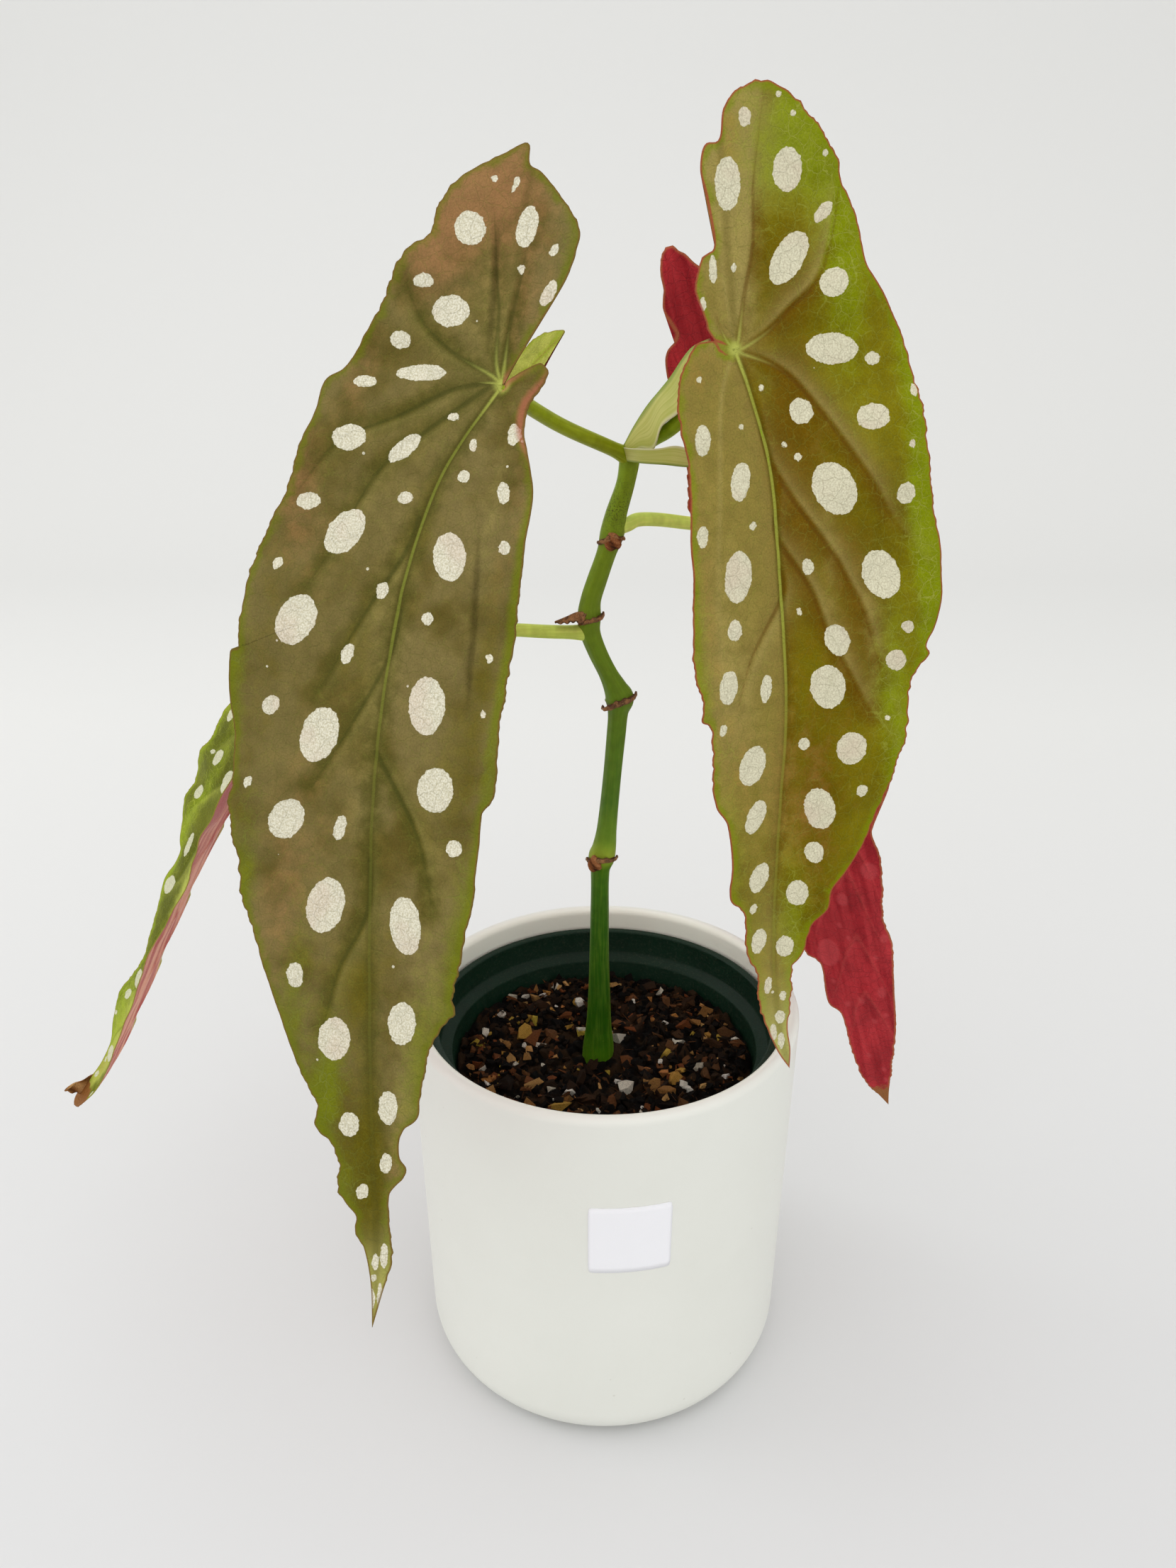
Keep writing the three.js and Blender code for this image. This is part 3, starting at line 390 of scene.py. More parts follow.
def closed_sheet_faces(rows, columns):
    """Faces of a front grid, a back grid and the walls between their edges."""
    width = columns + 1
    back = (rows + 1) * width
    faces = []
    for row in range(rows):
        for column in range(columns):
            a = row * width + column
            faces.append((a, a + 1, a + width + 1, a + width))
            faces.append((a + back, a + width + back, a + width + 1 + back, a + 1 + back))
    for column in range(columns):
        top = rows * width + column
        faces.append((column, column + back, column + 1 + back, column + 1))
        faces.append((top, top + 1, top + 1 + back, top + back))
    for row in range(rows):
        left = row * width
        right = left + columns
        faces.append((left, left + width, left + width + back, left + back))
        faces.append((right, right + back, right + width + back, right + width))
    return faces


label_points = [
    label_point(lift, row, column)
    for lift in LABEL_LIFTS for row in range(LABEL_ROWS + 1) for column in range(LABEL_COLUMNS + 1)
]
label = make_mesh("blank_label", label_points, closed_sheet_faces(LABEL_ROWS, LABEL_COLUMNS), label_paper)
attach(label, "root")
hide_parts("paper_label")

# The nursery pot: thin blow-moulded plastic in dark green, with a band and a rolled lip at the top,
# a step under the band and drain holes. Dust and splashed soil dull its inside.
nursery_low, nursery_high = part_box("nursery_pot")
NURSERY_TOP = nursery_high.z / MM
NURSERY_FLOOR = nursery_low.z / MM
NURSERY_RIM_RADIUS = nursery_high.x / MM
NURSERY_BAND = 9
NURSERY_STEP_RADIUS = 49
NURSERY_BASE_RADIUS = 39
NURSERY_WALL = 1.4
NURSERY_WALL_STEPS = 6
NURSERY_SECTORS = 144
DRAIN_HOLES = 6
DRAIN_RADIUS = 4
DRAIN_RING = 24
plastic = Finish("green_plastic", 0.42, Specular_IOR_Level=0.18)
plastic_cloud = plastic.use(clouds, Place=plastic.millimetres(), Broad=0.12, Fine=1.3)
plastic_colour = plastic.paint(
    plastic.mix(plastic_cloud["Broad"], (8, 32, 20), (16, 46, 30)),
    (plastic.ease(plastic_cloud["Fine"], 0.5, 0.72, 0, 0.3), (74, 78, 62)),
)
plastic.show(Base_Color=plastic_colour, Roughness=plastic.spread(plastic_cloud["Fine"], 0.3, 0.6))
plastic.bump(plastic_cloud["Fine"], 0.12)
band_radius = NURSERY_RIM_RADIUS - NURSERY_WALL
band_inner = band_radius - NURSERY_WALL
band_foot = NURSERY_TOP - NURSERY_BAND
wall_rise = band_foot - 1.5 - NURSERY_FLOOR
nursery_line = [
    (0, NURSERY_FLOOR + 1),
    (NURSERY_BASE_RADIUS - 7, NURSERY_FLOOR + 1),
    (NURSERY_BASE_RADIUS - 5, NURSERY_FLOOR),
    *arc_line(NURSERY_BASE_RADIUS - 2, NURSERY_FLOOR + 2, 2, -90, -10, 5),
]
for step in range(1, NURSERY_WALL_STEPS + 1):
    share = step / NURSERY_WALL_STEPS
    radius = NURSERY_BASE_RADIUS + (NURSERY_STEP_RADIUS - NURSERY_BASE_RADIUS) * share
    nursery_line.append((radius, NURSERY_FLOOR + wall_rise * share))
nursery_line += [
    (NURSERY_STEP_RADIUS + 0.4, band_foot - 0.9),
    (band_radius - 0.7, band_foot - 0.2),
    (band_radius, band_foot + 0.5),
    (band_radius, NURSERY_TOP - 3.2),
    *arc_line(NURSERY_RIM_RADIUS - 0.8, NURSERY_TOP - 2.2, 0.8, -60, 0, 3),
    *arc_line(NURSERY_RIM_RADIUS - 1, NURSERY_TOP - 1, 1, 0, 110, 6),
    (band_inner + 0.7, NURSERY_TOP),
    *arc_line(band_inner + 0.7, NURSERY_TOP - 0.7, 0.7, 90, 180, 4),
    (band_inner, band_foot + 1.2),
    (band_inner - 0.5, band_foot + 0.3),
    (NURSERY_STEP_RADIUS - NURSERY_WALL + 0.3, band_foot - 0.4),
    (NURSERY_STEP_RADIUS - NURSERY_WALL, band_foot - 1.2),
    (NURSERY_BASE_RADIUS - NURSERY_WALL, NURSERY_FLOOR + NURSERY_WALL + 1),
    (NURSERY_BASE_RADIUS - NURSERY_WALL - 1, NURSERY_FLOOR + NURSERY_WALL),
    (0, NURSERY_FLOOR + NURSERY_WALL),
]
nursery = lathe("nursery_pot_shell", nursery_line, NURSERY_SECTORS, plastic)
drains = []
for hole in range(DRAIN_HOLES):
    turn = 2 * math.pi * hole / DRAIN_HOLES
    drain = lathe("drain_hole", [(0, -4), (DRAIN_RADIUS, -4), (DRAIN_RADIUS, 6), (0, 6)], 40, plastic)
    drain.location = Vector((DRAIN_RING * math.cos(turn), DRAIN_RING * math.sin(turn), NURSERY_FLOOR)) * MM
    cut = nursery.modifiers.new("drain", "BOOLEAN")
    cut.object = drain
    cut.solver = "EXACT"
    drains.append(drain)
bpy.context.view_layer.update()
shell = nursery.evaluated_get(bpy.context.evaluated_depsgraph_get())
nursery.data = bpy.data.meshes.new_from_object(shell)
nursery.modifiers.clear()
for drain in drains:
    bpy.data.objects.remove(drain)
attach(nursery, "root")
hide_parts("nursery_pot")

# The soil: dark moist potting mix, loosely filled, that falls off a little at the pot's wall. Chips
# of bark, amber grit, white perlite and a few fibres lie in it where they fell.
soil_low, soil_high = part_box("soil")
SOIL_RADIUS = soil_high.x / MM
SOIL_FOOT = soil_low.z / MM
SOIL_LEVEL = 102.5
SOIL_BUMP = 1.6
SOIL_EDGE_START = 0.82
SOIL_EDGE_DROP = 14
SOIL_BASE = 7.7
SOIL_BASE_RADIUS = 38
SOIL_TAPER = 9
SOIL_FIRST_RING = 3.5
SOIL_RINGS = 70
SOIL_SECTORS = 220
CANE_CLEAR = 6.5
CHIP_CORNERS = (7, 8, 9, 10, 11, 12, 14, 8, 9, 10, 11, 13)


def soil_height(x, y):
    """The height of the soil's surface."""
    waves = np.sin(x * 0.31 + 1.3) * np.cos(y * 0.27) + 0.6 * np.sin(x * 0.83 - y * 0.71)
    fine = 0.5 * np.sin(x * 1.9 + y * 0.4) * np.sin(y * 1.7 - x * 0.6)
    edge = np.maximum(np.hypot(x, y) / SOIL_RADIUS - SOIL_EDGE_START, 0)
    return SOIL_LEVEL + SOIL_BUMP / 2 * (waves + fine) - SOIL_EDGE_DROP * edge**2


def crumble(x, y, seed, waves=60, finest=1.1):
    """Fine roughness from many small waves in chance directions."""
    draw = np.random.default_rng(seed)
    total = np.zeros_like(x)
    for _ in range(waves):
        turn, start = draw.uniform(0, 2 * math.pi, 2)
        length = finest * 6 ** draw.random()
        along = x * math.cos(turn) + y * math.sin(turn)
        total += length**0.8 * np.sin(2 * math.pi * along / length + start)
    return total / math.sqrt(waves)


def add_values(thing, **values):
    """A number for each point of the mesh, which the finish reads by its name."""
    for name, numbers in values.items():
        layer = thing.data.attributes.new(name, "FLOAT", "POINT")
        layer.data.foreach_set("value", np.ascontiguousarray(numbers, dtype=np.float32))


def earth_finish(name, tones, roughness, relief):
    """A rough earthy finish whose tone runs through several colours from piece to piece."""
    finish = Finish(name, roughness, Specular_IOR_Level=0.12)
    cloud = finish.use(clouds, Place=finish.millimetres(), Broad=0.5, Fine=3.5)
    stops = [(index / (len(tones) - 1), tone) for index, tone in enumerate(tones)]
    tone = finish.ramp(finish.value("tone"), stops)
    finish.show(Base_Color=finish.mix(1, tone, finish.spread(cloud["Fine"], 0.55, 1.25), "MULTIPLY"))
    finish.bump(cloud["Fine"], relief)
    return finish


bed_finish = earth_finish("potting_mix", [(7, 5, 3), (24, 16, 8), (52, 36, 20)], 0.85, 0.7)
BARK_TONES = [(18, 12, 7), (52, 33, 17), (96, 64, 35), (150, 106, 62), (112, 60, 28)]
bark_finish = earth_finish("bark_chips", BARK_TONES, 0.8, 0.6)
AMBER_TONES = [(134, 94, 48), (204, 164, 102), (168, 108, 58), (226, 202, 146), (170, 148, 54)]
amber_finish = earth_finish("amber_grit", AMBER_TONES, 0.7, 0.5)
perlite_finish = earth_finish("perlite", [(178, 170, 150), (212, 206, 190), (232, 229, 218)], 0.9, 0.5)
rings = np.linspace(SOIL_FIRST_RING, SOIL_RADIUS, SOIL_RINGS)
turns = np.arange(SOIL_SECTORS) * 2 * math.pi / SOIL_SECTORS
ring_grid, turn_grid = np.meshgrid(rings, turns, indexing="ij")
soil_x = (ring_grid * np.cos(turn_grid)).ravel()
soil_y = (ring_grid * np.sin(turn_grid)).ravel()
lumps = crumble(soil_x, soil_y, 4)
soil_top = np.column_stack([soil_x, soil_y, soil_height(soil_x, soil_y) + 0.28 * lumps - 0.3])
foot_radius = SOIL_BASE_RADIUS + SOIL_TAPER * (SOIL_FOOT - SOIL_BASE) / (SOIL_LEVEL - SOIL_BASE)
foot_height = np.full(len(turns), SOIL_FOOT)
soil_ring = np.column_stack([np.cos(turns) * foot_radius, np.sin(turns) * foot_radius, foot_height])
soil_points = np.vstack([soil_top, soil_ring, [[0, 0, SOIL_FOOT], [0, 0, SOIL_LEVEL]]])
count = len(soil_points)
inside_out = turned_faces(SOIL_RINGS + 1, SOIL_SECTORS, 0, count - 1, count - 2)
soil_bed = make_mesh("soil_bed", soil_points, [(face[0], *face[:0:-1]) for face in inside_out], bed_finish)
bed_grain = crumble(soil_points[:, 0], soil_points[:, 1], 9, 40, 3)
add_values(soil_bed, tone=np.clip(0.45 + 0.22 * bed_grain, 0, 1))


def mesh_arrays(form):
    """The points and faces of a bmesh, which is freed."""
    form.verts.index_update()
    points = np.array([corner.co for corner in form.verts])
    faces = np.array([[corner.index for corner in face.verts] for face in form.faces])
    form.free()
    return points, faces


def ball(subdivisions):
    """A ball of radius 1, as points and faces."""
    form = bmesh.new()
    bmesh.ops.create_icosphere(form, subdivisions=subdivisions, radius=1)
    return mesh_arrays(form)


def angular_chip(draw, corners):
    """An angular chip, the hull of a few chance corners, as points and faces."""
    spread = draw.normal(size=(corners, 3))
    spread /= np.linalg.norm(spread, axis=1, keepdims=True)
    hull = bmesh.new()
    for corner in spread:
        hull.verts.new(corner)
    bmesh.ops.convex_hull(hull, input=hull.verts)
    return mesh_arrays(hull)


def turn_matrix(draw, most):
    """A turn by up to so much about each axis, and any turn about the upright one."""
    x, y = draw.uniform(-most, most, 2)
    z = draw.uniform(0, 2 * math.pi)
    about_x = np.array([[1, 0, 0], [0, math.cos(x), -math.sin(x)], [0, math.sin(x), math.cos(x)]])
    about_y = np.array([[math.cos(y), 0, math.sin(y)], [0, 1, 0], [-math.sin(y), 0, math.cos(y)]])
    about_z = np.array([[math.cos(z), -math.sin(z), 0], [math.sin(z), math.cos(z), 0], [0, 0, 1]])
    return about_z @ about_y @ about_x


chip_draw = np.random.default_rng(5)
CHIPS = [angular_chip(chip_draw, corners) for corners in CHIP_CORNERS]


def scatter(name, seed, count, sizes, squash, sink, ridge_count, finish, widths=(0.5, 0.95), shapes=CHIPS):
    """Lumps or chips of one kind strewn over the soil, fused into one mesh."""
    draw = np.random.default_rng(seed)
    points, faces, tones = [], [], []
    start = 0
    for index in range(count):
        reach = CANE_CLEAR + (SOIL_RADIUS - CANE_CLEAR - sizes[1] * 0.7) * math.sqrt(draw.random())
        turn = draw.uniform(0, 2 * math.pi)
        size = sizes[0] + (sizes[1] - sizes[0]) * draw.random() ** 2.2
        x, y = reach * math.cos(turn), reach * math.sin(turn)
        shape, shape_faces = shapes[index % len(shapes)]
        ridges = draw.normal(size=(ridge_count, 3))
        rough = np.sin(2.6 * shape @ ridges.T).sum(axis=1, keepdims=True)
        shape = shape * (1 + 0.3 * rough / math.sqrt(ridge_count))
        shape *= size * np.array([1, draw.uniform(*widths), draw.uniform(*squash)])
        shape = shape @ turn_matrix(draw, 0.7).T
        height = float(soil_height(np.array(x), np.array(y))) + sink * size
        faces.append(shape_faces + start)
        points.append(shape + (x, y, height))
        tones.append(np.full(len(shape), draw.random() ** 1.4))
        start += len(shape)
    strewn = make_mesh(name, np.vstack(points), np.vstack(faces).tolist(), finish, smooth=False)
    add_values(strewn, tone=np.concatenate(tones))
    return strewn


soil_pieces = [
    soil_bed,
    scatter("soil_crumbs", 11, 2200, (0.4, 2.4), (0.5, 0.95), 0.15, 3, bed_finish),
    scatter("bark_chips", 12, 480, (0.8, 3.9), (0.25, 0.7), 0.25, 3, bark_finish, (0.3, 0.9)),
    scatter("amber_grit", 13, 140, (0.7, 3.4), (0.5, 0.9), 0.4, 3, amber_finish, (0.45, 0.95)),
    scatter("perlite_grains", 14, 64, (0.7, 3.5), (0.6, 0.95), 0.4, 3, perlite_finish, (0.6, 0.95)),
    scatter("root_fibres", 15, 170, (1.4, 5), (0.03, 0.06), 0.1, 2, bark_finish, (0.03, 0.06), [ball(2)]),
]
for piece in soil_pieces:
    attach(piece, "root")
    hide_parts("soil")

# The cane: one smooth green stem that grew in zigzag steps from node to node. It swells at each
# node, is darker low down, and has pale lengthwise streaks and small cork spots.
CANE_STATIONS = [
    (-2, 78.5, 4.2), (-2, 97.5, 5), (-1.8, 105.5, 4.8), (-1.7, 114, 3.9), (-1.6, 125, 3.4),
    (-1.6, 138, 3), (-1.5, 152, 2.8), (-1.4, 167, 2.8), (-1, 171.5, 3.9), (-0.2, 175, 3.5),
    (0.5, 181, 2.9), (1.8, 196, 2.6), (3, 211, 2.7), (3.4, 217, 2.9), (3.7, 221, 4.1), (2.6, 224, 3.3),
    (0.5, 228.3, 2.6), (-2.5, 234.5, 2.6), (-4.5, 240, 2.8), (-4.8, 244.5, 3.2), (-4.4, 249, 2.8),
    (-2.9, 254, 2.7), (-0.3, 261.7, 2.6), (1.2, 267, 3.2), (2.2, 272, 2.8), (4.6, 280, 2.4),
    (5.7, 287, 2.6), (6, 289.5, 2),
]
CANE_RINGS = 420
CANE_SIDES = 36
# Each scar is a ring round the cane, by its height on the cane's axis, its lean and its half width.
CANE_SCARS = [
    (-1, 171.2, 0.08, -0.3, 1), (3.6, 220, 0.42, -0.2, 1.1),
    (-4.7, 243.6, 0.3, -0.1, 0.9), (1, 264.8, 0.15, -0.35, 1),
]
CANE_GREENS = [
    (96, (81, 117, 18)), (104, (68, 115, 13)), (112, (41, 88, 6)), (128, (39, 84, 7)),
    (160, (54, 102, 10)), (169, (72, 117, 18)), (173, (156, 180, 52)), (178, (110, 147, 37)),
    (190, (79, 121, 31)), (212, (72, 113, 25)), (221, (95, 134, 31)), (228, (76, 121, 18)),
    (238, (95, 140, 22)), (244, (108, 153, 27)), (252, (66, 109, 12)), (262, (91, 130, 20)),
    (268, (133, 157, 37)), (274, (85, 109, 14)), (282, (101, 130, 20)), (290, (131, 159, 30)),
]
SPECKLED_STRETCH = [
    (262, (0, 0, 0)), (267, (120, 120, 120)), (273, (255, 255, 255)), (279, (90, 90, 90)), (284, (0, 0, 0)),
]


def smooth_line(corners, count):
    """Evenly spaced points along a smooth curve through the corners."""
    corners = np.asarray(corners, float)
    padded = np.vstack([corners[:1], corners, corners[-1:]])
    t = np.linspace(0, 1, 25)[:-1, None]
    stretches = []
    for before, start, end, after in zip(padded, padded[1:], padded[2:], padded[3:]):
        leave, arrive = (end - before) / 2, (after - start) / 2
        cubic = (2 * start - 2 * end + leave + arrive) * t**3
        square = (3 * end - 3 * start - 2 * leave - arrive) * t**2
        stretches.append(cubic + square + leave * t + start)
    dense = np.vstack([*stretches, corners[-1:]])
    reached = np.concatenate([[0], np.cumsum(np.linalg.norm(np.diff(dense, axis=0), axis=1))])
    evenly = np.linspace(0, reached[-1], count + 1)
    return np.column_stack([np.interp(evenly, reached, column) for column in dense.T])


def read_curve(pairs, places):
    """Values read off a smooth curve through (place, value) pairs, level beyond its ends."""
    x, y = np.array(pairs, float).T
    slopes = np.empty(len(x))
    slopes[1:-1] = (y[2:] - y[:-2]) / (x[2:] - x[:-2])
    slopes[0] = (y[1] - y[0]) / (x[1] - x[0])
    slopes[-1] = (y[-1] - y[-2]) / (x[-1] - x[-2])
    at = np.clip(places, x[0], x[-1])
    k = np.clip(np.searchsorted(x, at) - 1, 0, len(x) - 2)
    span = x[k + 1] - x[k]
    t = (at - x[k]) / span
    level = y[k] + (y[k + 1] - y[k]) * (3 * t**2 - 2 * t**3)
    return level + span * (slopes[k] * (t**3 - 2 * t**2 + t) + slopes[k + 1] * (t**3 - t**2))


def bell(distance, width):
    """1 at no distance, falling softly to almost 0 at twice the width."""
    return np.exp(-((distance / width) ** 2))


def add_places(thing, places):
    """The place on its skin or blade for each point of the mesh."""
    layer = thing.data.attributes.new("place", "FLOAT_VECTOR", "POINT")
    layer.data.foreach_set("vector", places.astype(np.float32).ravel())


def sweep(name, path, radii, sides, finish, bumps=None):
    """A round rod along a path, with closed ends. Bumps change its radius round and along it."""
    path = np.asarray(path, float)
    count = len(path)
    tangents = np.gradient(path, axis=0)
    tangents /= np.linalg.norm(tangents, axis=1, keepdims=True)
    normal = np.cross(tangents[0], (0, 1, 0.01))
    normals = []
    for tangent in tangents:
        normal = normal - normal.dot(tangent) * tangent
        normal /= np.linalg.norm(normal)
        normals.append(normal)
    normals = np.array(normals)
    binormals = np.cross(tangents, normals)
    angles = np.arange(sides) * 2 * math.pi / sides
    reach = np.repeat(np.asarray(radii, float)[:, None], sides, axis=1)
    if bumps is not None:
        reach = reach + bumps(np.arange(count)[:, None], angles[None])
    rim = normals[:, None] * np.cos(angles)[:, None] + binormals[:, None] * np.sin(angles)[:, None]
    points = (path[:, None] + reach[:, :, None] * rim).reshape(-1, 3)
    faces = turned_faces(count, sides, 0, count * sides, count * sides + 1)
    rod = make_mesh(name, np.vstack([points, path[:1], path[-1:]]), faces, finish)
    reached = np.concatenate([[0], np.cumsum(np.linalg.norm(np.diff(path, axis=0), axis=1))])
    skin_place = np.empty((count, sides, 3))
    skin_place[..., 0] = np.mean(radii) * np.cos(angles)
    skin_place[..., 1] = np.mean(radii) * np.sin(angles)
    skin_place[..., 2] = reached[:, None]
    add_places(rod, np.vstack([skin_place.reshape(-1, 3), [[0, 0, 0], [0, 0, reached[-1]]]]))
    return rod


# Green skin: base, streaks, mottling and cork spots, shared by the cane and the leaf stalks.
skin = Group(
    "green_skin",
    {"Place": "Vector", "Green": "Color", "Pale": "Color"},
    {"Colour": "Color", "Height": "Float", "Roughness": "Float"},
)
skin_place = skin.given["Place"]
streaks = skin.noise(skin.stretch(skin_place, (1, 1, 0.06)), 1.6, 4)
mottle = skin.noise(skin_place, 0.35, 3)
skin_grain = skin.noise(skin_place, 5, 3)
cork_spots = skin.ease(skin.cells(skin.stretch(skin_place, (0.75, 0.75, 0.4)), 1), 0.07, 0.13, 0.3, 0)
streaked = skin.mix(skin.ease(streaks, 0.4, 0.7, 0, 0.3), skin.given["Green"], skin.given["Pale"])
mottled = skin.mix(1, streaked, skin.spread(mottle, 0.91, 1.07), "MULTIPLY")
skin.put(
    Colour=skin.mix(cork_spots, mottled, skin.given["Pale"]),
    Height=skin.add(skin_grain, skin.times(cork_spots, 0.8)),
    Roughness=skin.spread(skin_grain, 0.34, 0.46),
)


def height_ramp(nodes, height, stops):
    """Colours by height in millimetres, blended from stop to stop."""
    low, high = stops[0][0], stops[-1][0]
    shares = [((level - low) / (high - low), colour) for level, colour in stops]
    return nodes.ramp(nodes.ease(height, low, high, kind="LINEAR"), shares)


def flutes(ring, angle):
    """The slight ridges that run along the cane."""
    return 0.09 * np.sin(3 * angle + ring * 0.01) + 0.05 * np.sin(7 * angle - ring * 0.02)


stem = Finish("cane_skin", 0.4, Specular_IOR_Level=0.12)
stem_place = stem.millimetres()
stem_height = stem.place("SeparateXYZ", {"Vector": stem_place})["Z"]
stem_green = height_ramp(stem, stem_height, CANE_GREENS)
stem_pale = stem.mix(0.45, stem_green, (150, 176, 60))
# Painted light: the cane is painted paler towards its outline, where its skin turns away from the camera.
stem_edge_light = stem.ease(stem.place("LayerWeight", {"Blend": 0.35})["Facing"], 0.25, 0.9, 0, 0.5)
stem_green = stem.mix(stem_edge_light, stem_green, stem_pale)
stem_skin = stem.use(skin, Place=stem.mesh_place(), Green=stem_green, Pale=stem_pale)
scar_noise = stem.noise(stem_place, 1.4, 5)
scar_mask = stem.ease(stem.add(stem.value("scar"), stem.times(scar_noise, 0.7)), 0.85, 1.1)
speckle = stem.ease(stem.noise(stem_place, 2.6, 4), 0.5, 0.62)
speckle_mask = stem.times(speckle, height_ramp(stem, stem_height, SPECKLED_STRETCH))
stem_colour = stem.paint(
    stem_skin["Colour"],
    (scar_mask, stem.mix(scar_noise, (64, 34, 16), (140, 92, 44))),
    (stem.times(speckle_mask, 0.75), (58, 54, 22)),
)
stem.show(Base_Color=stem_colour, Roughness=stem_skin["Roughness"])
stem.bump(stem.add(stem_skin["Height"], scar_mask), 0.14)
stations = np.array(CANE_STATIONS)
cane_line = smooth_line(np.column_stack([stations[:, 0], 0 * stations[:, 0], stations[:, 1]]), CANE_RINGS)
cane_radii = read_curve(stations[:, 1:], cane_line[:, 2])
cane = sweep("cane_stem", cane_line, cane_radii, CANE_SIDES, stem, flutes)
cane_points = np.array([corner.co for corner in cane.data.vertices]) / MM
scar = np.zeros(len(cane_points))
for node_x, node_z, lean_x, lean_y, half_width in CANE_SCARS:
    level = node_z + lean_x * (cane_points[:, 0] - node_x) + lean_y * cane_points[:, 1]
    scar = np.maximum(scar, bell(cane_points[:, 2] - level, half_width))
add_values(cane, scar=scar)
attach(cane, "root")
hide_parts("cane")

# The leaves: four thin wing-shaped blades on green stalks, lopsided and waved at the edge, with
# silvery spots on an olive upper face and a crimson underside whose veins stand out.
FOLD_SOFTNESS = 5
BLADE_SPACING = 0.72
EDGE_POINTS = 900
MIDDLE_THICKNESS = 0.56
EDGE_THICKNESS = 0.24
SMALL_FLUTTER = 0.3
SMALLEST_SPOT = 0.75
SPOT_REACH = 4
FIRST_SPOT_SEED = 20
PATTERN_SHIFT = 300
HORN_ROWS = 26
HORN_COLUMNS = 12
HORN_ROOT_U = (204.5, 211)
HORN_ROOT_V = (-5.6, -2.4)
HORN_APEX = (-173.6, -1.2, 88.4)
STALK_RADIUS = 1.9
STALK_RINGS = 70
STALK_SIDES = 24
RIB_STRETCH = (0.6, 26)
RIB_RADII = (1.6, 0.4)
RIB_RINGS = 30
# Start and run along u of the side veins that are drawn where none can be read off.
DRAWN_VEINS = ((0, 20), (0, 46), (22, 44), (46, 42), (72, 40), (98, 38), (124, 34), (150, 28), (174, 20))
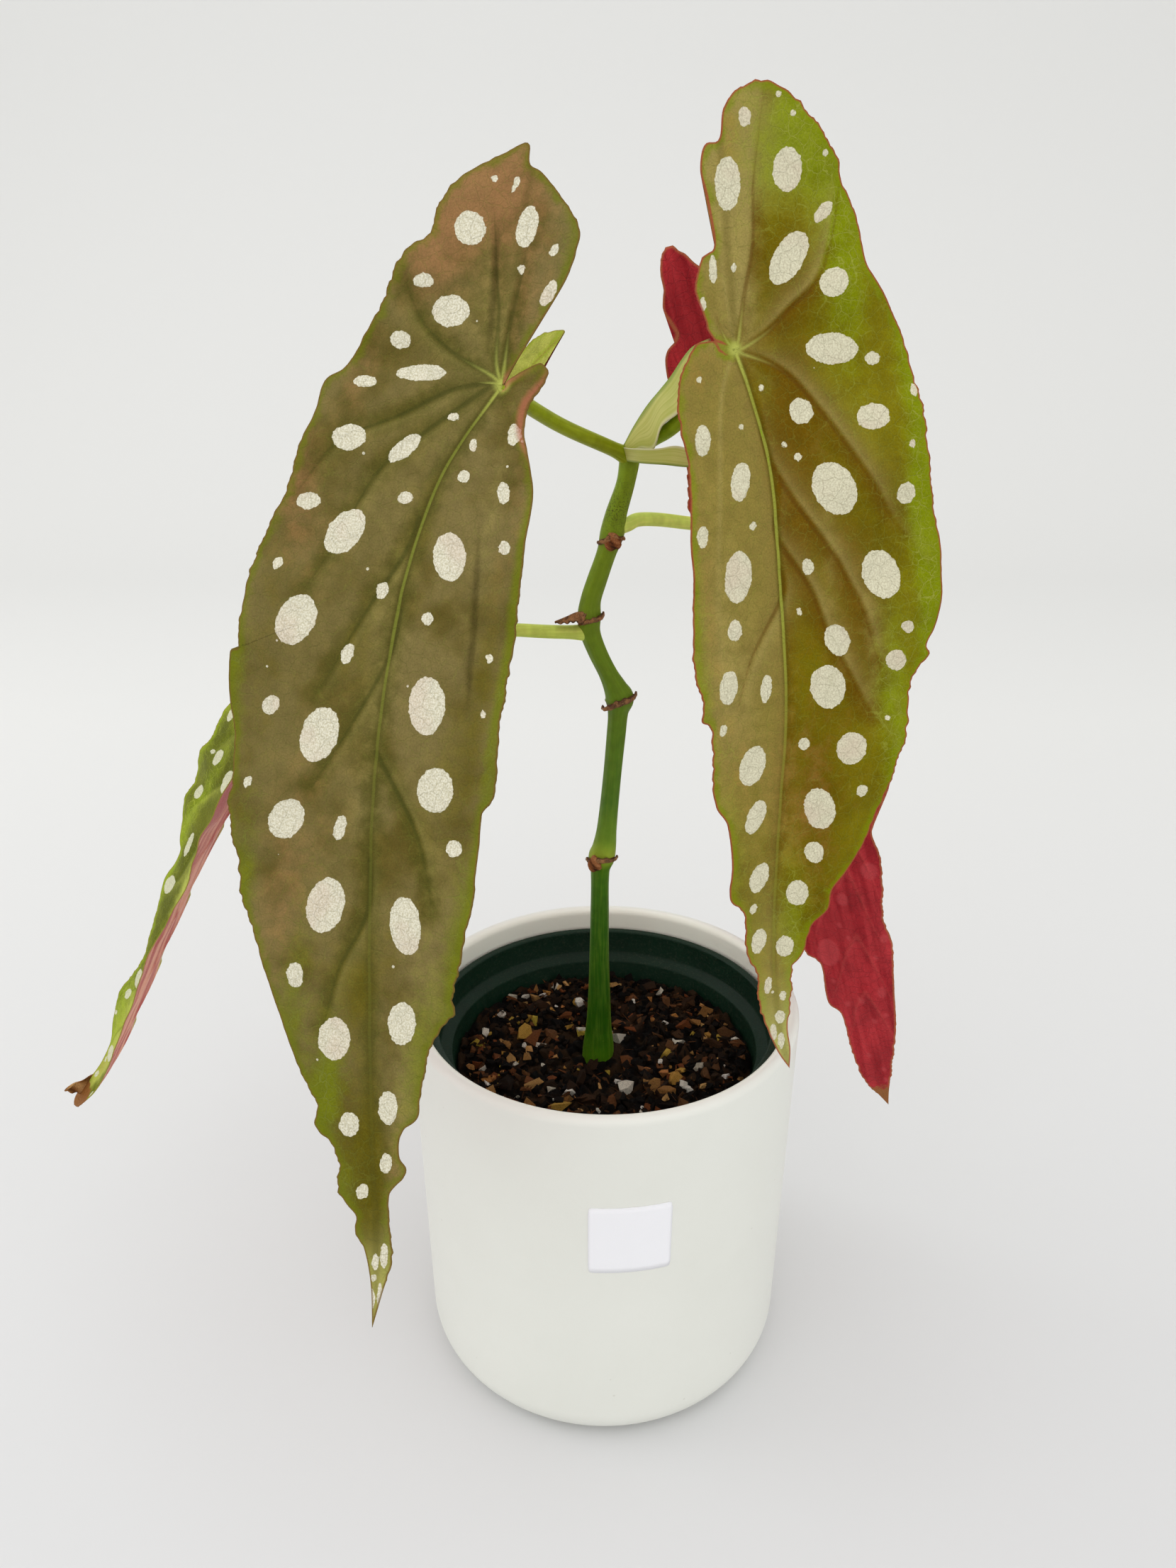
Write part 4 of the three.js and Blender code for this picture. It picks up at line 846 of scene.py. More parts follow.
# Each leaf has a plane of its own, in which u runs from its joint to its tip and v across it, to the
# right when the tip hangs down. Its midrib, edges, veins, creases and spots are given there. A spot
# has its place, its half length and half width, and its turn. Bow and ripple rise from that plane.
LEAVES = {
    "leaf_front_left": {
        "joint": (-24, -40, 307), "tip": (-55, -110, 105), "facing": (-0.25, -0.9, 0.35),
        "bow": [(0, 0), (60, 4), (140, 4)], "fold": (0.06, 0.12), "ripple": (1.3, 41, 0.6), "reach": 22,
        "midrib": [
            (0, 0), (20, -10), (44, -15), (78, -16), (106, -14), (137, -10), (172, -5), (198, -1),
        ],
        "left": [
            (-7, 3.5), (-15, 7.5), (-23, 11.5), (-29, 13), (-35, 12.5), (-45, 3.5), (-47.5, -0.5),
            (-52, -1.5), (-50, -6), (-44.5, -15.5), (-38, -20), (-31, -21.5), (-27, -26), (-21, -28.5),
            (-15, -30.5), (-7, -34.5), (-1, -38), (2.5, -42), (11, -43), (18, -44.5), (29, -47),
            (38.5, -51), (46, -52.5), (58, -52.5), (65, -52), (66, -54), (72, -54), (79, -53), (86, -51),
            (95, -49), (100, -49.5), (106, -48), (117, -45.5), (123, -44), (133, -37.5), (143, -33),
            (149, -30), (157.5, -26), (161, -23.5), (166, -19.5), (171.5, -19), (175, -14.5),
            (179, -12.5), (185.5, -12), (190.5, -7), (194, -7), (198, -4), (206, -1.5),
        ],
        "right": [
            (-2, 2), (-5, 8), (-3, 10.5), (3, 7), (9, 6.5), (14, 8.5), (19, 10.5), (26, 12), (46, 13),
            (67, 13), (88, 14), (94, 11.5), (107, 12), (111.5, 12.5), (125, 11.5), (134, 10.5),
            (138.5, 11), (145, 7), (158, 5.5), (163.5, 5.5), (167, 2.5), (170, 1.5), (174, 2), (176, 4),
            (178.5, 3.5), (182, 1), (185, 0.5), (191, 1.5), (198.5, 3), (207, 1.5),
        ],
        "stalk": [
            (5.4, 0, 286.6), (0.4, -5, 289.5), (-10, -17, 295.3), (-16.6, -26, 299.9),
            (-23, -38.2, 305.5),
        ],
        "stalk_green": (136, 152, 16),
        "veins": [
            [(0, 0), (-5, -2), (-16, -3), (-25, -5), (-37, -7)],
            [(0, 0), (-7, 0), (-13, 0), (-22, 1), (-37, 2)],
            [(0, 0), (-2, -3), (-6, -12), (-12, -20), (-20, -25)],
            [(0, 0), (0, -3), (2, -11), (8, -21), (16, -35), (28, -44)],
            [(0, 0), (1, -3), (12, -16), (21, -25), (31, -30), (50, -38)],
            [(31, -14), (39, -16), (53, -23), (73, -32)], [(52, -15), (62, -16), (77, -22), (94, -30)],
            [(84, -16), (98, -5), (108, 0), (117, 3)], [(108, -14), (120, -13), (134, -18), (148, -20)],
        ],
        "creases": [[(-35, -6), (-22, -5), (-6, -4)], [(31, 1), (50, 3), (65, 4), (74, 5)]],
        "spots": [
            (-33, -12, 4, 3.5, 35), (-34, 1, 4.5, 2.5, -5), (-43, -3, 2, 0.5, -10), (-44, -8, 1, 0.5, 65),
            (-29, 8, 1.5, 1, -25), (-25, 1, 1, 1, -10), (-21, -21, 2.5, 1.5, -85),
            (-15, -14, 4.5, 3.5, 90), (-20, 8, 3, 1.5, -25), (-8, -25, 2.5, 2, 90), (-1, -19, 6, 2, -85),
            (2, -32, 3, 1.5, -90), (8, -10, 1.5, 1, -85), (15, -33, 4, 3, -85), (16, -20, 4.5, 2, -45),
            (14, -4, 1.5, 1, 0), (11, 5, 2.5, 1.5, 5), (21, -5, 1.5, 1.5, 0), (24, 5, 2.5, 1.5, 15),
            (27, -18, 2, 1.5, -90), (30, -41, 3, 2, -85), (36, -31, 6, 4, -35), (45, -46, 1.5, 1.5, 80),
            (36, 8, 1.5, 1.5, 30), (39, -5, 5.5, 4, 20), (48, -20, 2, 1.5, -5), (57, -39, 6, 4.5, -20),
            (53, -8, 1.5, 1.5, 15), (63, -26, 2.5, 1.5, -15), (60, 8, 1, 1, 85), (77, -43, 2.5, 2, -45),
            (82, -30, 6.5, 4.5, -15), (72, -5, 6.5, 4.5, 10), (72, 9, 1, 0.5, 15), (95, -45, 1.5, 1, -25),
            (90, 0, 5, 4.5, 0), (102, -35, 5, 4, -30), (102, -22, 3, 1.5, -10), (102, 6, 2, 2, -40),
            (120, -23, 6.5, 4.5, -10), (121, -3, 6.5, 4, 15), (137, -28, 3, 2, 5), (150, -17, 5, 4, 0),
            (143, -1, 5, 3.5, 0), (163, -2, 4, 2.5, 0), (169, -11, 3, 2.5, -10), (176, -1, 2.5, 1.5, 0),
            (184, -6, 2, 1.5, -25), (198, 1, 3, 1, 5), (200, -1, 2, 1, 5), (204, -1, 1, 0.5, 0),
            (209, -1, 2.5, 1, 5), (208, 1, 3.5, 0.5, 5),
        ],
        "sheen_veins": [], "chance": 0, "slot": "leaf_olive",
    },
    "leaf_front_right": {
        "joint": (28, -30, 314), "tip": (48, -55, 137), "facing": (0.22, -0.9, 0.35),
        "bow": [(0, 0), (45, 4.5), (120, 4)], "fold": (0.16, 0.05), "ripple": (1.2, 37, 2.1), "reach": 18,
        "midrib": [
            (0, 0), (13, 3), (25, 5), (46, 5), (83, 4), (102, 1.5), (121, -1), (143, -3), (166, -2.5),
        ],
        "left": [
            (-2, -4.5), (-1.5, -9.5), (2, -12.5), (8, -15.5), (17, -16), (24.5, -15), (40, -17),
            (53, -17.5), (69, -19), (78, -18), (82, -18), (85, -16), (100, -16.5), (105, -15.5),
            (109, -13.5), (119, -13), (128, -14), (133, -10.5), (143.5, -10.5), (149.5, -8), (160, -7.5),
            (173, -3.5),
        ],
        "right": [
            (1, -2.5), (-3, -5.5), (-9, -7.5), (-13.5, -8.5), (-19, -6.5), (-21, -3.5), (-24, -3),
            (-32, -4), (-37, -5), (-42, -3.5), (-43, 0), (-49, 1.5), (-52.5, 5), (-54, 11), (-51, 17),
            (-46.5, 21), (-38, 27), (-34, 28), (-27, 30.5), (-16, 32), (-12, 34), (-2.5, 40), (5.5, 42),
            (13.5, 43), (30, 44.5), (44, 45.5), (59, 45), (67.5, 44), (72.5, 41.5), (75, 42),
            (80.5, 37.5), (94, 34), (104.5, 30), (116, 25), (126, 18.5), (131, 13.5), (136, 12),
            (140, 7.5), (147, 5), (150.5, 2), (158, 1.5), (167, 0), (174, 0.5),
        ],
        "stalk": [
            (6, 0, 287.4), (11.1, -4, 291.3), (15.3, -8, 294.3), (19.2, -13, 298.7), (23.4, -20, 305.3),
            (27.4, -28, 312.8),
        ],
        "stalk_green": (138, 168, 22),
        "veins": [
            [(0, 0), (-2, 1), (-11, 3), (-22, 6), (-34, 7), (-49, 10)], [(0, 0), (-2, -2), (-7, -4)],
            [(0, 0), (0, 2), (-3, 8), (-7, 13), (-15, 22), (-34, 28)],
            [(0, 0), (1, 1), (4, 8), (9, 14), (19, 21), (27, 26), (43, 35)],
            [(18, 4), (25, 5), (35, 10), (49, 19), (63, 25), (78, 29)],
            [(38, 5), (43, 5), (55, 12), (67, 16), (88, 26)], [(50, 5), (56, 5), (69, -4), (81, -9)],
        ],
        "sheen_veins": [
            [(0, 0), (-1, 0), (-8, -1), (-20, -2), (-30, -2)],
            [(0, 0), (10, -5), (28, -8), (44, -10.5), (66, -12), (90, -12)],
        ],
        "creases": [],
        "spots": [
            (-47, 6, 2, 1.5, -5), (-51, 14, 0.5, 0.5, -90), (-47, 17, 0.5, 0.5, 85), (-34, 1, 5.5, 3, -5),
            (-36, 15, 4.5, 3.5, -10), (-39, 24, 0.5, 0.5, 85), (-27, 23, 3, 1.5, -50),
            (-18, 14, 6.5, 3.5, -40), (-12, 24, 3.5, 3, -60), (-17, -4, 3, 1, -5), (-17, 1, 1, 0.5, -5),
            (-10, -7, 1.5, 0.5, -5), (2, 23, 6.5, 3.5, 85), (5, 33, 2, 1.5, 85), (6, -10, 0.5, 0.5, -85),
            (13, 42, 1.5, 1, -15), (9, 5, 0.5, 0.5, -85), (15, 14, 3, 3, -80), (18, 31, 4, 3, 90),
            (19, -11, 3.5, 2, -10), (17, -1, 0.5, 0.5, -85), (29, -3, 4.5, 2.5, -20),
            (33, 20, 6.5, 5, 30), (36, 38, 2.5, 2.5, 55), (22, 9, 0.5, 0.5, 90), (25, 12, 1, 1, 90),
            (25, 40, 1, 1, 80), (39, -1, 1, 1, -5), (40, -14, 2.5, 1.5, -5), (50, -6, 6, 3.5, -10),
            (50, 12, 2, 1.5, 5), (54, 30, 6, 4.5, 20), (60, 9, 1, 0.5, 5), (62, -8, 2.5, 2, -5),
            (68, 18, 4, 3, 20), (67, 36, 2, 1.5, 55), (75, 33, 3, 2.5, 55), (75, -11, 4, 2.5, -15),
            (77, -1, 3.5, 1.5, -10), (79, 15, 5.5, 4.5, 15), (85, -13, 1.5, 1, -20),
            (95, -6, 5, 3.5, -25), (92, 8, 1.5, 1.5, 15), (95, 20, 4, 4, 50), (89, 30, 0.5, 0.5, 75),
            (106, 22, 1.5, 1.5, 40), (109, 11, 5.5, 4, 15), (108, -6, 4.5, 2.5, -30),
            (120, 9, 3, 2.5, 30), (124, -6, 4, 2.5, -25), (130, 4, 3.5, 3, 15), (132, -8, 1.5, 1, -20),
            (141, -7, 3.5, 2, -15), (144, 0, 3, 2.5, 5), (154, -5, 2.5, 1, -10), (158, -1, 1.5, 1, 10),
            (164, -2, 2, 1.5, 10), (168, -4, 2.5, 1, 0), (171, -2, 2.5, 1, 0),
        ],
        "chance": 0, "slot": "leaf_lime",
    },
    "leaf_back_right": {
        "joint": (37, 25, 265), "tip": (105, 40, 51), "facing": (0.3, 0.9, 0.3),
        "bow": [(0, 0), (75, 6), (160, 4)], "fold": (0.1, 0.1), "ripple": (1.4, 46, 0.2), "reach": 24,
        "midrib": [(0, 0), (30, -2), (70, -6), (110, -6), (150, -3), (200, 0)],
        "left": [
            (-3, -6), (-6, -15), (-1, -23), (8, -27), (20, -26), (40, -28), (65, -29), (80, -28),
            (94, -24.5), (107, -17.5), (112, -15.5), (121, -16.5), (133, -15), (145, -13), (155, -14),
            (166, -12.5), (176, -11), (190, -9), (204, -5.5), (218, -1.5),
        ],
        "right": [
            (-8, -6), (-24, -11), (-45, -14), (-62, -11.5), (-69, -7), (-73, -4), (-75, -0.5), (-70, 2.5),
            (-65, 3), (-60.5, 4.5), (-56, 3), (-53, 2.5), (-49.5, 7), (-44, 8.5), (-41.5, 8), (-37.5, 5),
            (-30, 7), (-22, 9), (-12, 11.5), (-6, 13), (4, 12.5), (22, 17), (40, 22), (60, 25.5),
            (92, 26.5), (125, 24), (145, 20), (157.5, 17), (163.5, 12.5), (179.5, 13.5), (185, 9.5),
            (200, 9), (214, 7), (220, 3),
        ],
        "stalk": [
            (1.4, 0, 268.4), (5.3, 2, 268.9), (8.2, 4, 269.8), (14.1, 8, 269.1), (23.3, 14, 267),
            (30.8, 20, 265.4), (36.4, 23.8, 265),
        ],
        "stalk_green": (212, 240, 108), "veins": [], "creases": [], "spots": [], "sheen_veins": [],
        "chance": 46, "slot": "leaf_crimson",
    },
    "leaf_back_left": {
        "joint": (-49, 5, 257), "tip": (-172, 0, 82), "facing": (-0.79, -0.28, 0.562),
        "bow": [(0, 0), (45, 9), (100, 9), (140, 4), (180, -1.6), (200, -2.8)], "fold": (0.354, 0.5),
        "ripple": (1, 35, 1.2), "reach": 22, "midrib": [(0, 0), (50, 0), (100, 0), (150, 0), (200, 0)],
        "left": [
            (-12, -3), (-30, -8), (-50, -12), (-59, -10.5), (-64, -8.7), (-70, -6.6), (-70, -9),
            (-65, -15.5), (-57.5, -18.5), (-42, -25), (-22, -30), (0, -32), (25, -32), (50, -30),
            (66, -28.5), (76, -28.7), (88, -28.4), (95.5, -31.5), (103, -26.5), (108.5, -25.5),
            (118, -18.2), (121, -15.5), (133, -18.4), (147.5, -13.6), (157, -12), (164, -12.6),
            (176, -16), (186, -13.6), (191, -8.8), (195, -7.4), (204.7, -5.6), (210, -5), (214, -2.5),
        ],
        "right": [
            (-4, 8), (-5, 18), (4, 24), (18, 27), (40, 27), (60, 25), (72, 24), (80, 25.5), (92, 20.5),
            (106, 13.5), (116, 10), (123, 14), (133, 15.5), (139, 17.5), (150, 15.5), (163.5, 13.5),
            (176, 11.5), (188, 9.5), (200, 6.5), (210, 4),
        ],
        "stalk": [
            (-4.7, 0, 240), (-14.7, 0, 240.2), (-22.4, 0, 240.6), (-30.2, 1, 240.9), (-38, 2.2, 243.5),
            (-45, 4, 250.3), (-48.2, 5, 256),
        ],
        "stalk_green": (200, 226, 98), "veins": [], "creases": [],
        "spots": [
            (88, -20, 3, 2, -10), (89, -24, 1.5, 0.5, -55), (102, -21, 2.5, 2, -5),
            (115, -12, 4.5, 1.5, 0), (132, -14, 4, 2.5, -25), (174, -11, 2.5, 1.5, -25),
            (184, -13, 1.5, 0.5, -45), (193, -4, 3, 2.5, 90),
        ],
        "sheen_veins": [], "chance": 30, "slot": "leaf_lime",
    },
}


class Blade:
    """A leaf's own frame: u runs along it, v across it, and its middle surface rises from that plane."""

    def __init__(self, leaf):
        self.leaf = leaf
        self.joint = np.array(leaf["joint"], float)
        self.along = np.array(leaf["tip"], float) - self.joint
        self.length = float(np.linalg.norm(self.along))
        self.along /= self.length
        facing = np.array(leaf["facing"], float)
        self.up = facing - facing.dot(self.along) * self.along
        self.up /= np.linalg.norm(self.up)
        self.across = np.cross(self.up, self.along)
        self.midrib = [*leaf["midrib"], (self.length, 0)]
        self.bow = [*leaf["bow"], (self.length, 0)]
        self.rims = []
        self.edges = {}
        for side in ("left", "right"):
            self.edges[side] = smooth_line([(0, 0), *leaf[side], (self.length, 0)], EDGE_POINTS)

    def aside(self, u, v):
        """How far a place lies to the right of the midrib."""
        return v - read_curve(self.midrib, u)

    def surface(self, u, v):
        """Points of the middle surface, bowed, folded at the midrib and rippled."""
        aside = self.aside(u, v)
        fold = np.where(aside > 0, self.leaf["fold"][1], self.leaf["fold"][0])
        height, length, turn = self.leaf["ripple"]
        wave = np.sin(2 * math.pi * (u + 0.35 * aside) / length + turn)
        wave *= np.minimum(np.abs(aside) / 30, 1) ** 2
        flutter = np.sin(u * 0.43 + 0.6 * np.sin(u * 0.11)) * np.clip(np.abs(aside) / 18, 0, 1) ** 3
        rise = read_curve(self.bow, u) + fold * (np.hypot(aside, FOLD_SOFTNESS) - FOLD_SOFTNESS)
        rise = rise + height * wave + SMALL_FLUTTER * flutter
        return self.joint + u[:, None] * self.along + v[:, None] * self.across + rise[:, None] * self.up

    def normals(self, u, v):
        """The directions in which the middle surface faces."""
        along_u = self.surface(u + 0.3, v) - self.surface(u - 0.3, v)
        along_v = self.surface(u, v + 0.3) - self.surface(u, v - 0.3)
        normal = np.cross(along_u, along_v)
        return normal / np.linalg.norm(normal, axis=1, keepdims=True)

    def edge_reach(self, side, u):
        """Where across the blade the edge lies, at each place along the body of the blade."""
        line = self.edges[side][EDGE_POINTS // 2:]
        order = np.argsort(line[:, 0])
        return np.interp(u, line[order, 0], line[order, 1])

    def half_grid(self, side):
        """Points (u, v) of one half, in rows from the midrib out to the finely toothed edge."""
        edge = self.edges[side]
        body_rows = int(1.12 * self.length / BLADE_SPACING)
        lobe_end = int(np.flatnonzero(edge[:, 0] < self.leaf["reach"])[-1])
        step = np.linalg.norm(edge[1] - edge[0])
        lobe_rows = int(lobe_end * step / BLADE_SPACING)
        lobe_at = np.linspace(0, lobe_end, lobe_rows, endpoint=False)
        at = np.concatenate([lobe_at, np.linspace(lobe_end, len(edge) - 1, body_rows + 1)])
        rim = np.column_stack([np.interp(at, np.arange(len(edge)), column) for column in edge.T])
        run = at * step
        tooth = 0.24 * np.sin(run * 1.15 + 3.4 * np.sin(run * 0.17))
        tooth += 0.15 * np.sin(run * 2.7 + 3 * np.sin(run * 0.29))
        tooth *= 0.55 + 0.45 * np.sin(run * 0.083 + len(self.rims))
        body_u = np.linspace(0, self.length, body_rows + 1)
        body = np.column_stack([body_u, read_curve(self.midrib, body_u)])
        root = np.vstack([np.zeros((lobe_rows, 2)), body])
        outward = rim - root
        reach = np.linalg.norm(outward, axis=1, keepdims=True)
        rim = rim + np.where(reach > 3, outward / np.maximum(reach, 1) * tooth[:, None], 0)
        self.rims.append(rim)
        t = np.linspace(0, 1, int(np.percentile(reach, 80) / BLADE_SPACING) + 1)
        share = t - 0.45 * np.sin(2 * math.pi * t) / (2 * math.pi)
        return root[:, None] + share[None, :, None] * (rim - root)[:, None]

    def places(self):
        """Points (u, v) of the blade's mesh and its triangles."""
        grids = {side: self.half_grid(side) for side in ("left", "right")}
        flat = np.vstack([grid.reshape(-1, 2) for grid in grids.values()])
        _, first, index = np.unique(np.round(flat, 3), axis=0, return_index=True, return_inverse=True)
        index = index.reshape(-1)
        triangles = []
        offset = 0
        for side, grid in grids.items():
            rows, columns = grid.shape[:2]
            number = index[offset:offset + rows * columns].reshape(rows, columns)
            offset += rows * columns
            a, b, c, d = number[:-1, :-1], number[:-1, 1:], number[1:, 1:], number[1:, :-1]
            halves = [(a, c, b), (a, d, c)] if side == "right" else [(a, b, c), (a, c, d)]
            triangles += [np.stack(half, axis=-1).reshape(-1, 3) for half in halves]
        triangles = np.vstack(triangles)
        p, q, r = triangles.T
        return flat[first], triangles[(p != q) & (q != r) & (r != p)]


def distance_to_line(places, line):
    """How far each place is from a line of points, how far along it that is, and how far to one side."""
    best = np.full(len(places), 1e9)
    share = np.zeros(len(places))
    sideways = np.zeros(len(places))
    reached = np.concatenate([[0], np.cumsum(np.linalg.norm(np.diff(line, axis=0), axis=1))])
    for k in range(len(line) - 1):
        start, run = line[k], line[k + 1] - line[k]
        size = max(run.dot(run), 1e-9)
        t = np.clip((places - start) @ run / size, 0, 1)
        gap = np.linalg.norm(places - start - t[:, None] * run, axis=1)
        nearer = gap < best
        best = np.where(nearer, gap, best)
        share = np.where(nearer, (reached[k] + t * math.sqrt(size)) / reached[-1], share)
        turned_run = np.array([-run[1], run[0]]) / math.sqrt(size)
        sideways = np.where(nearer, (places - start) @ turned_run, sideways)
    return best, share, sideways


def edge_distance(places, rims):
    """The distance of each place from the blade's edge."""
    dense = []
    for rim in rims:
        at = np.linspace(0, len(rim) - 1, 4 * len(rim))
        dense.append(np.column_stack([np.interp(at, np.arange(len(rim)), column) for column in rim.T]))
    dense = np.vstack(dense)
    tree = KDTree(len(dense))
    for index, (u, v) in enumerate(dense):
        tree.insert((u, v, 0), index)
    tree.balance()
    return np.array([tree.find((u, v, 0))[2] for u, v in places])


def spot_distance(places, spots):
    """How far each place is outside the nearest spot, in millimetres, less than 0 inside."""
    nearest = np.full(len(places), float(SPOT_REACH))
    for u, v, half_long, half_wide, turn_deg in spots:
        half_long, half_wide = max(half_long, SMALLEST_SPOT), max(half_wide, SMALLEST_SPOT)
        turn = math.radians(turn_deg)
        x = (places[:, 0] - u) * math.cos(turn) + (places[:, 1] - v) * math.sin(turn)
        y = (places[:, 1] - v) * math.cos(turn) - (places[:, 0] - u) * math.sin(turn)
        k = np.hypot(x / half_long, y / half_wide)
        slope = np.maximum(np.hypot(x / half_long**2, y / half_wide**2), 1e-6)
        away = np.where(k > 0.35, k * (k - 1) / slope, (k - 1) * min(half_long, half_wide))
        nearest = np.minimum(nearest, away)
    return np.clip(nearest, -SPOT_REACH, SPOT_REACH)


def chance_spots(blade, seed, count):
    """Spots in chance places, larger in the middle of each half than near the edge."""
    draw = np.random.default_rng(seed)
    spots = []
    while len(spots) < count:
        u = draw.uniform(-6, blade.length - 4)
        side = draw.choice(["left", "right"])
        middle = float(read_curve(blade.midrib, np.array([u]))[0])
        rim = float(blade.edge_reach(side, u))
        share = draw.uniform(0.12, 0.86)
        v = middle + share * (rim - middle)
        room = abs(rim - middle) * min(share, 1 - share)
        half_long = min(draw.choice([1, 1.5, 2.5, 4, 6]) * draw.uniform(0.8, 1.1), room * 0.8)
        if half_long < 0.6:
            continue
        if any(math.hypot(u - s[0], v - s[1]) < half_long + s[2] + 2.5 for s in spots):
            continue
        spots.append((u, v, half_long, half_long * draw.uniform(0.62, 0.85), draw.uniform(-30, 30)))
    return spots


def side_veins(blade):
    """Veins where none can be read off: a fan from the joint, then branches from the midrib."""
    veins = [[(0, 0), (-6, 4), (-14, 5)], [(0, 0), (-6, -3), (-16, -7), (-40, -8), (-60, -5)]]
    for side in ("left", "right"):
        for start, run in DRAWN_VEINS:
            if start + run > blade.length - 6:
                continue
            u = start + run * np.array([0, 0.35, 0.7, 1])
            middle = read_curve(blade.midrib, u)
            rim = blade.edge_reach(side, u)
            share = np.array([0, 0.3, 0.6, 0.86])
            veins.append(list(zip(u, middle + share * (rim - middle))))
    return veins


def soft_patches(places, patches):
    """A sum of soft ovals (u, v, half length, half width, strength), up to 1."""
    total = np.zeros(len(places))
    for u, v, half_long, half_wide, strength in patches:
        total += strength * bell(places[:, 0] - u, half_long) * bell(places[:, 1] - v, half_wide)
    return np.clip(total, 0, 1)
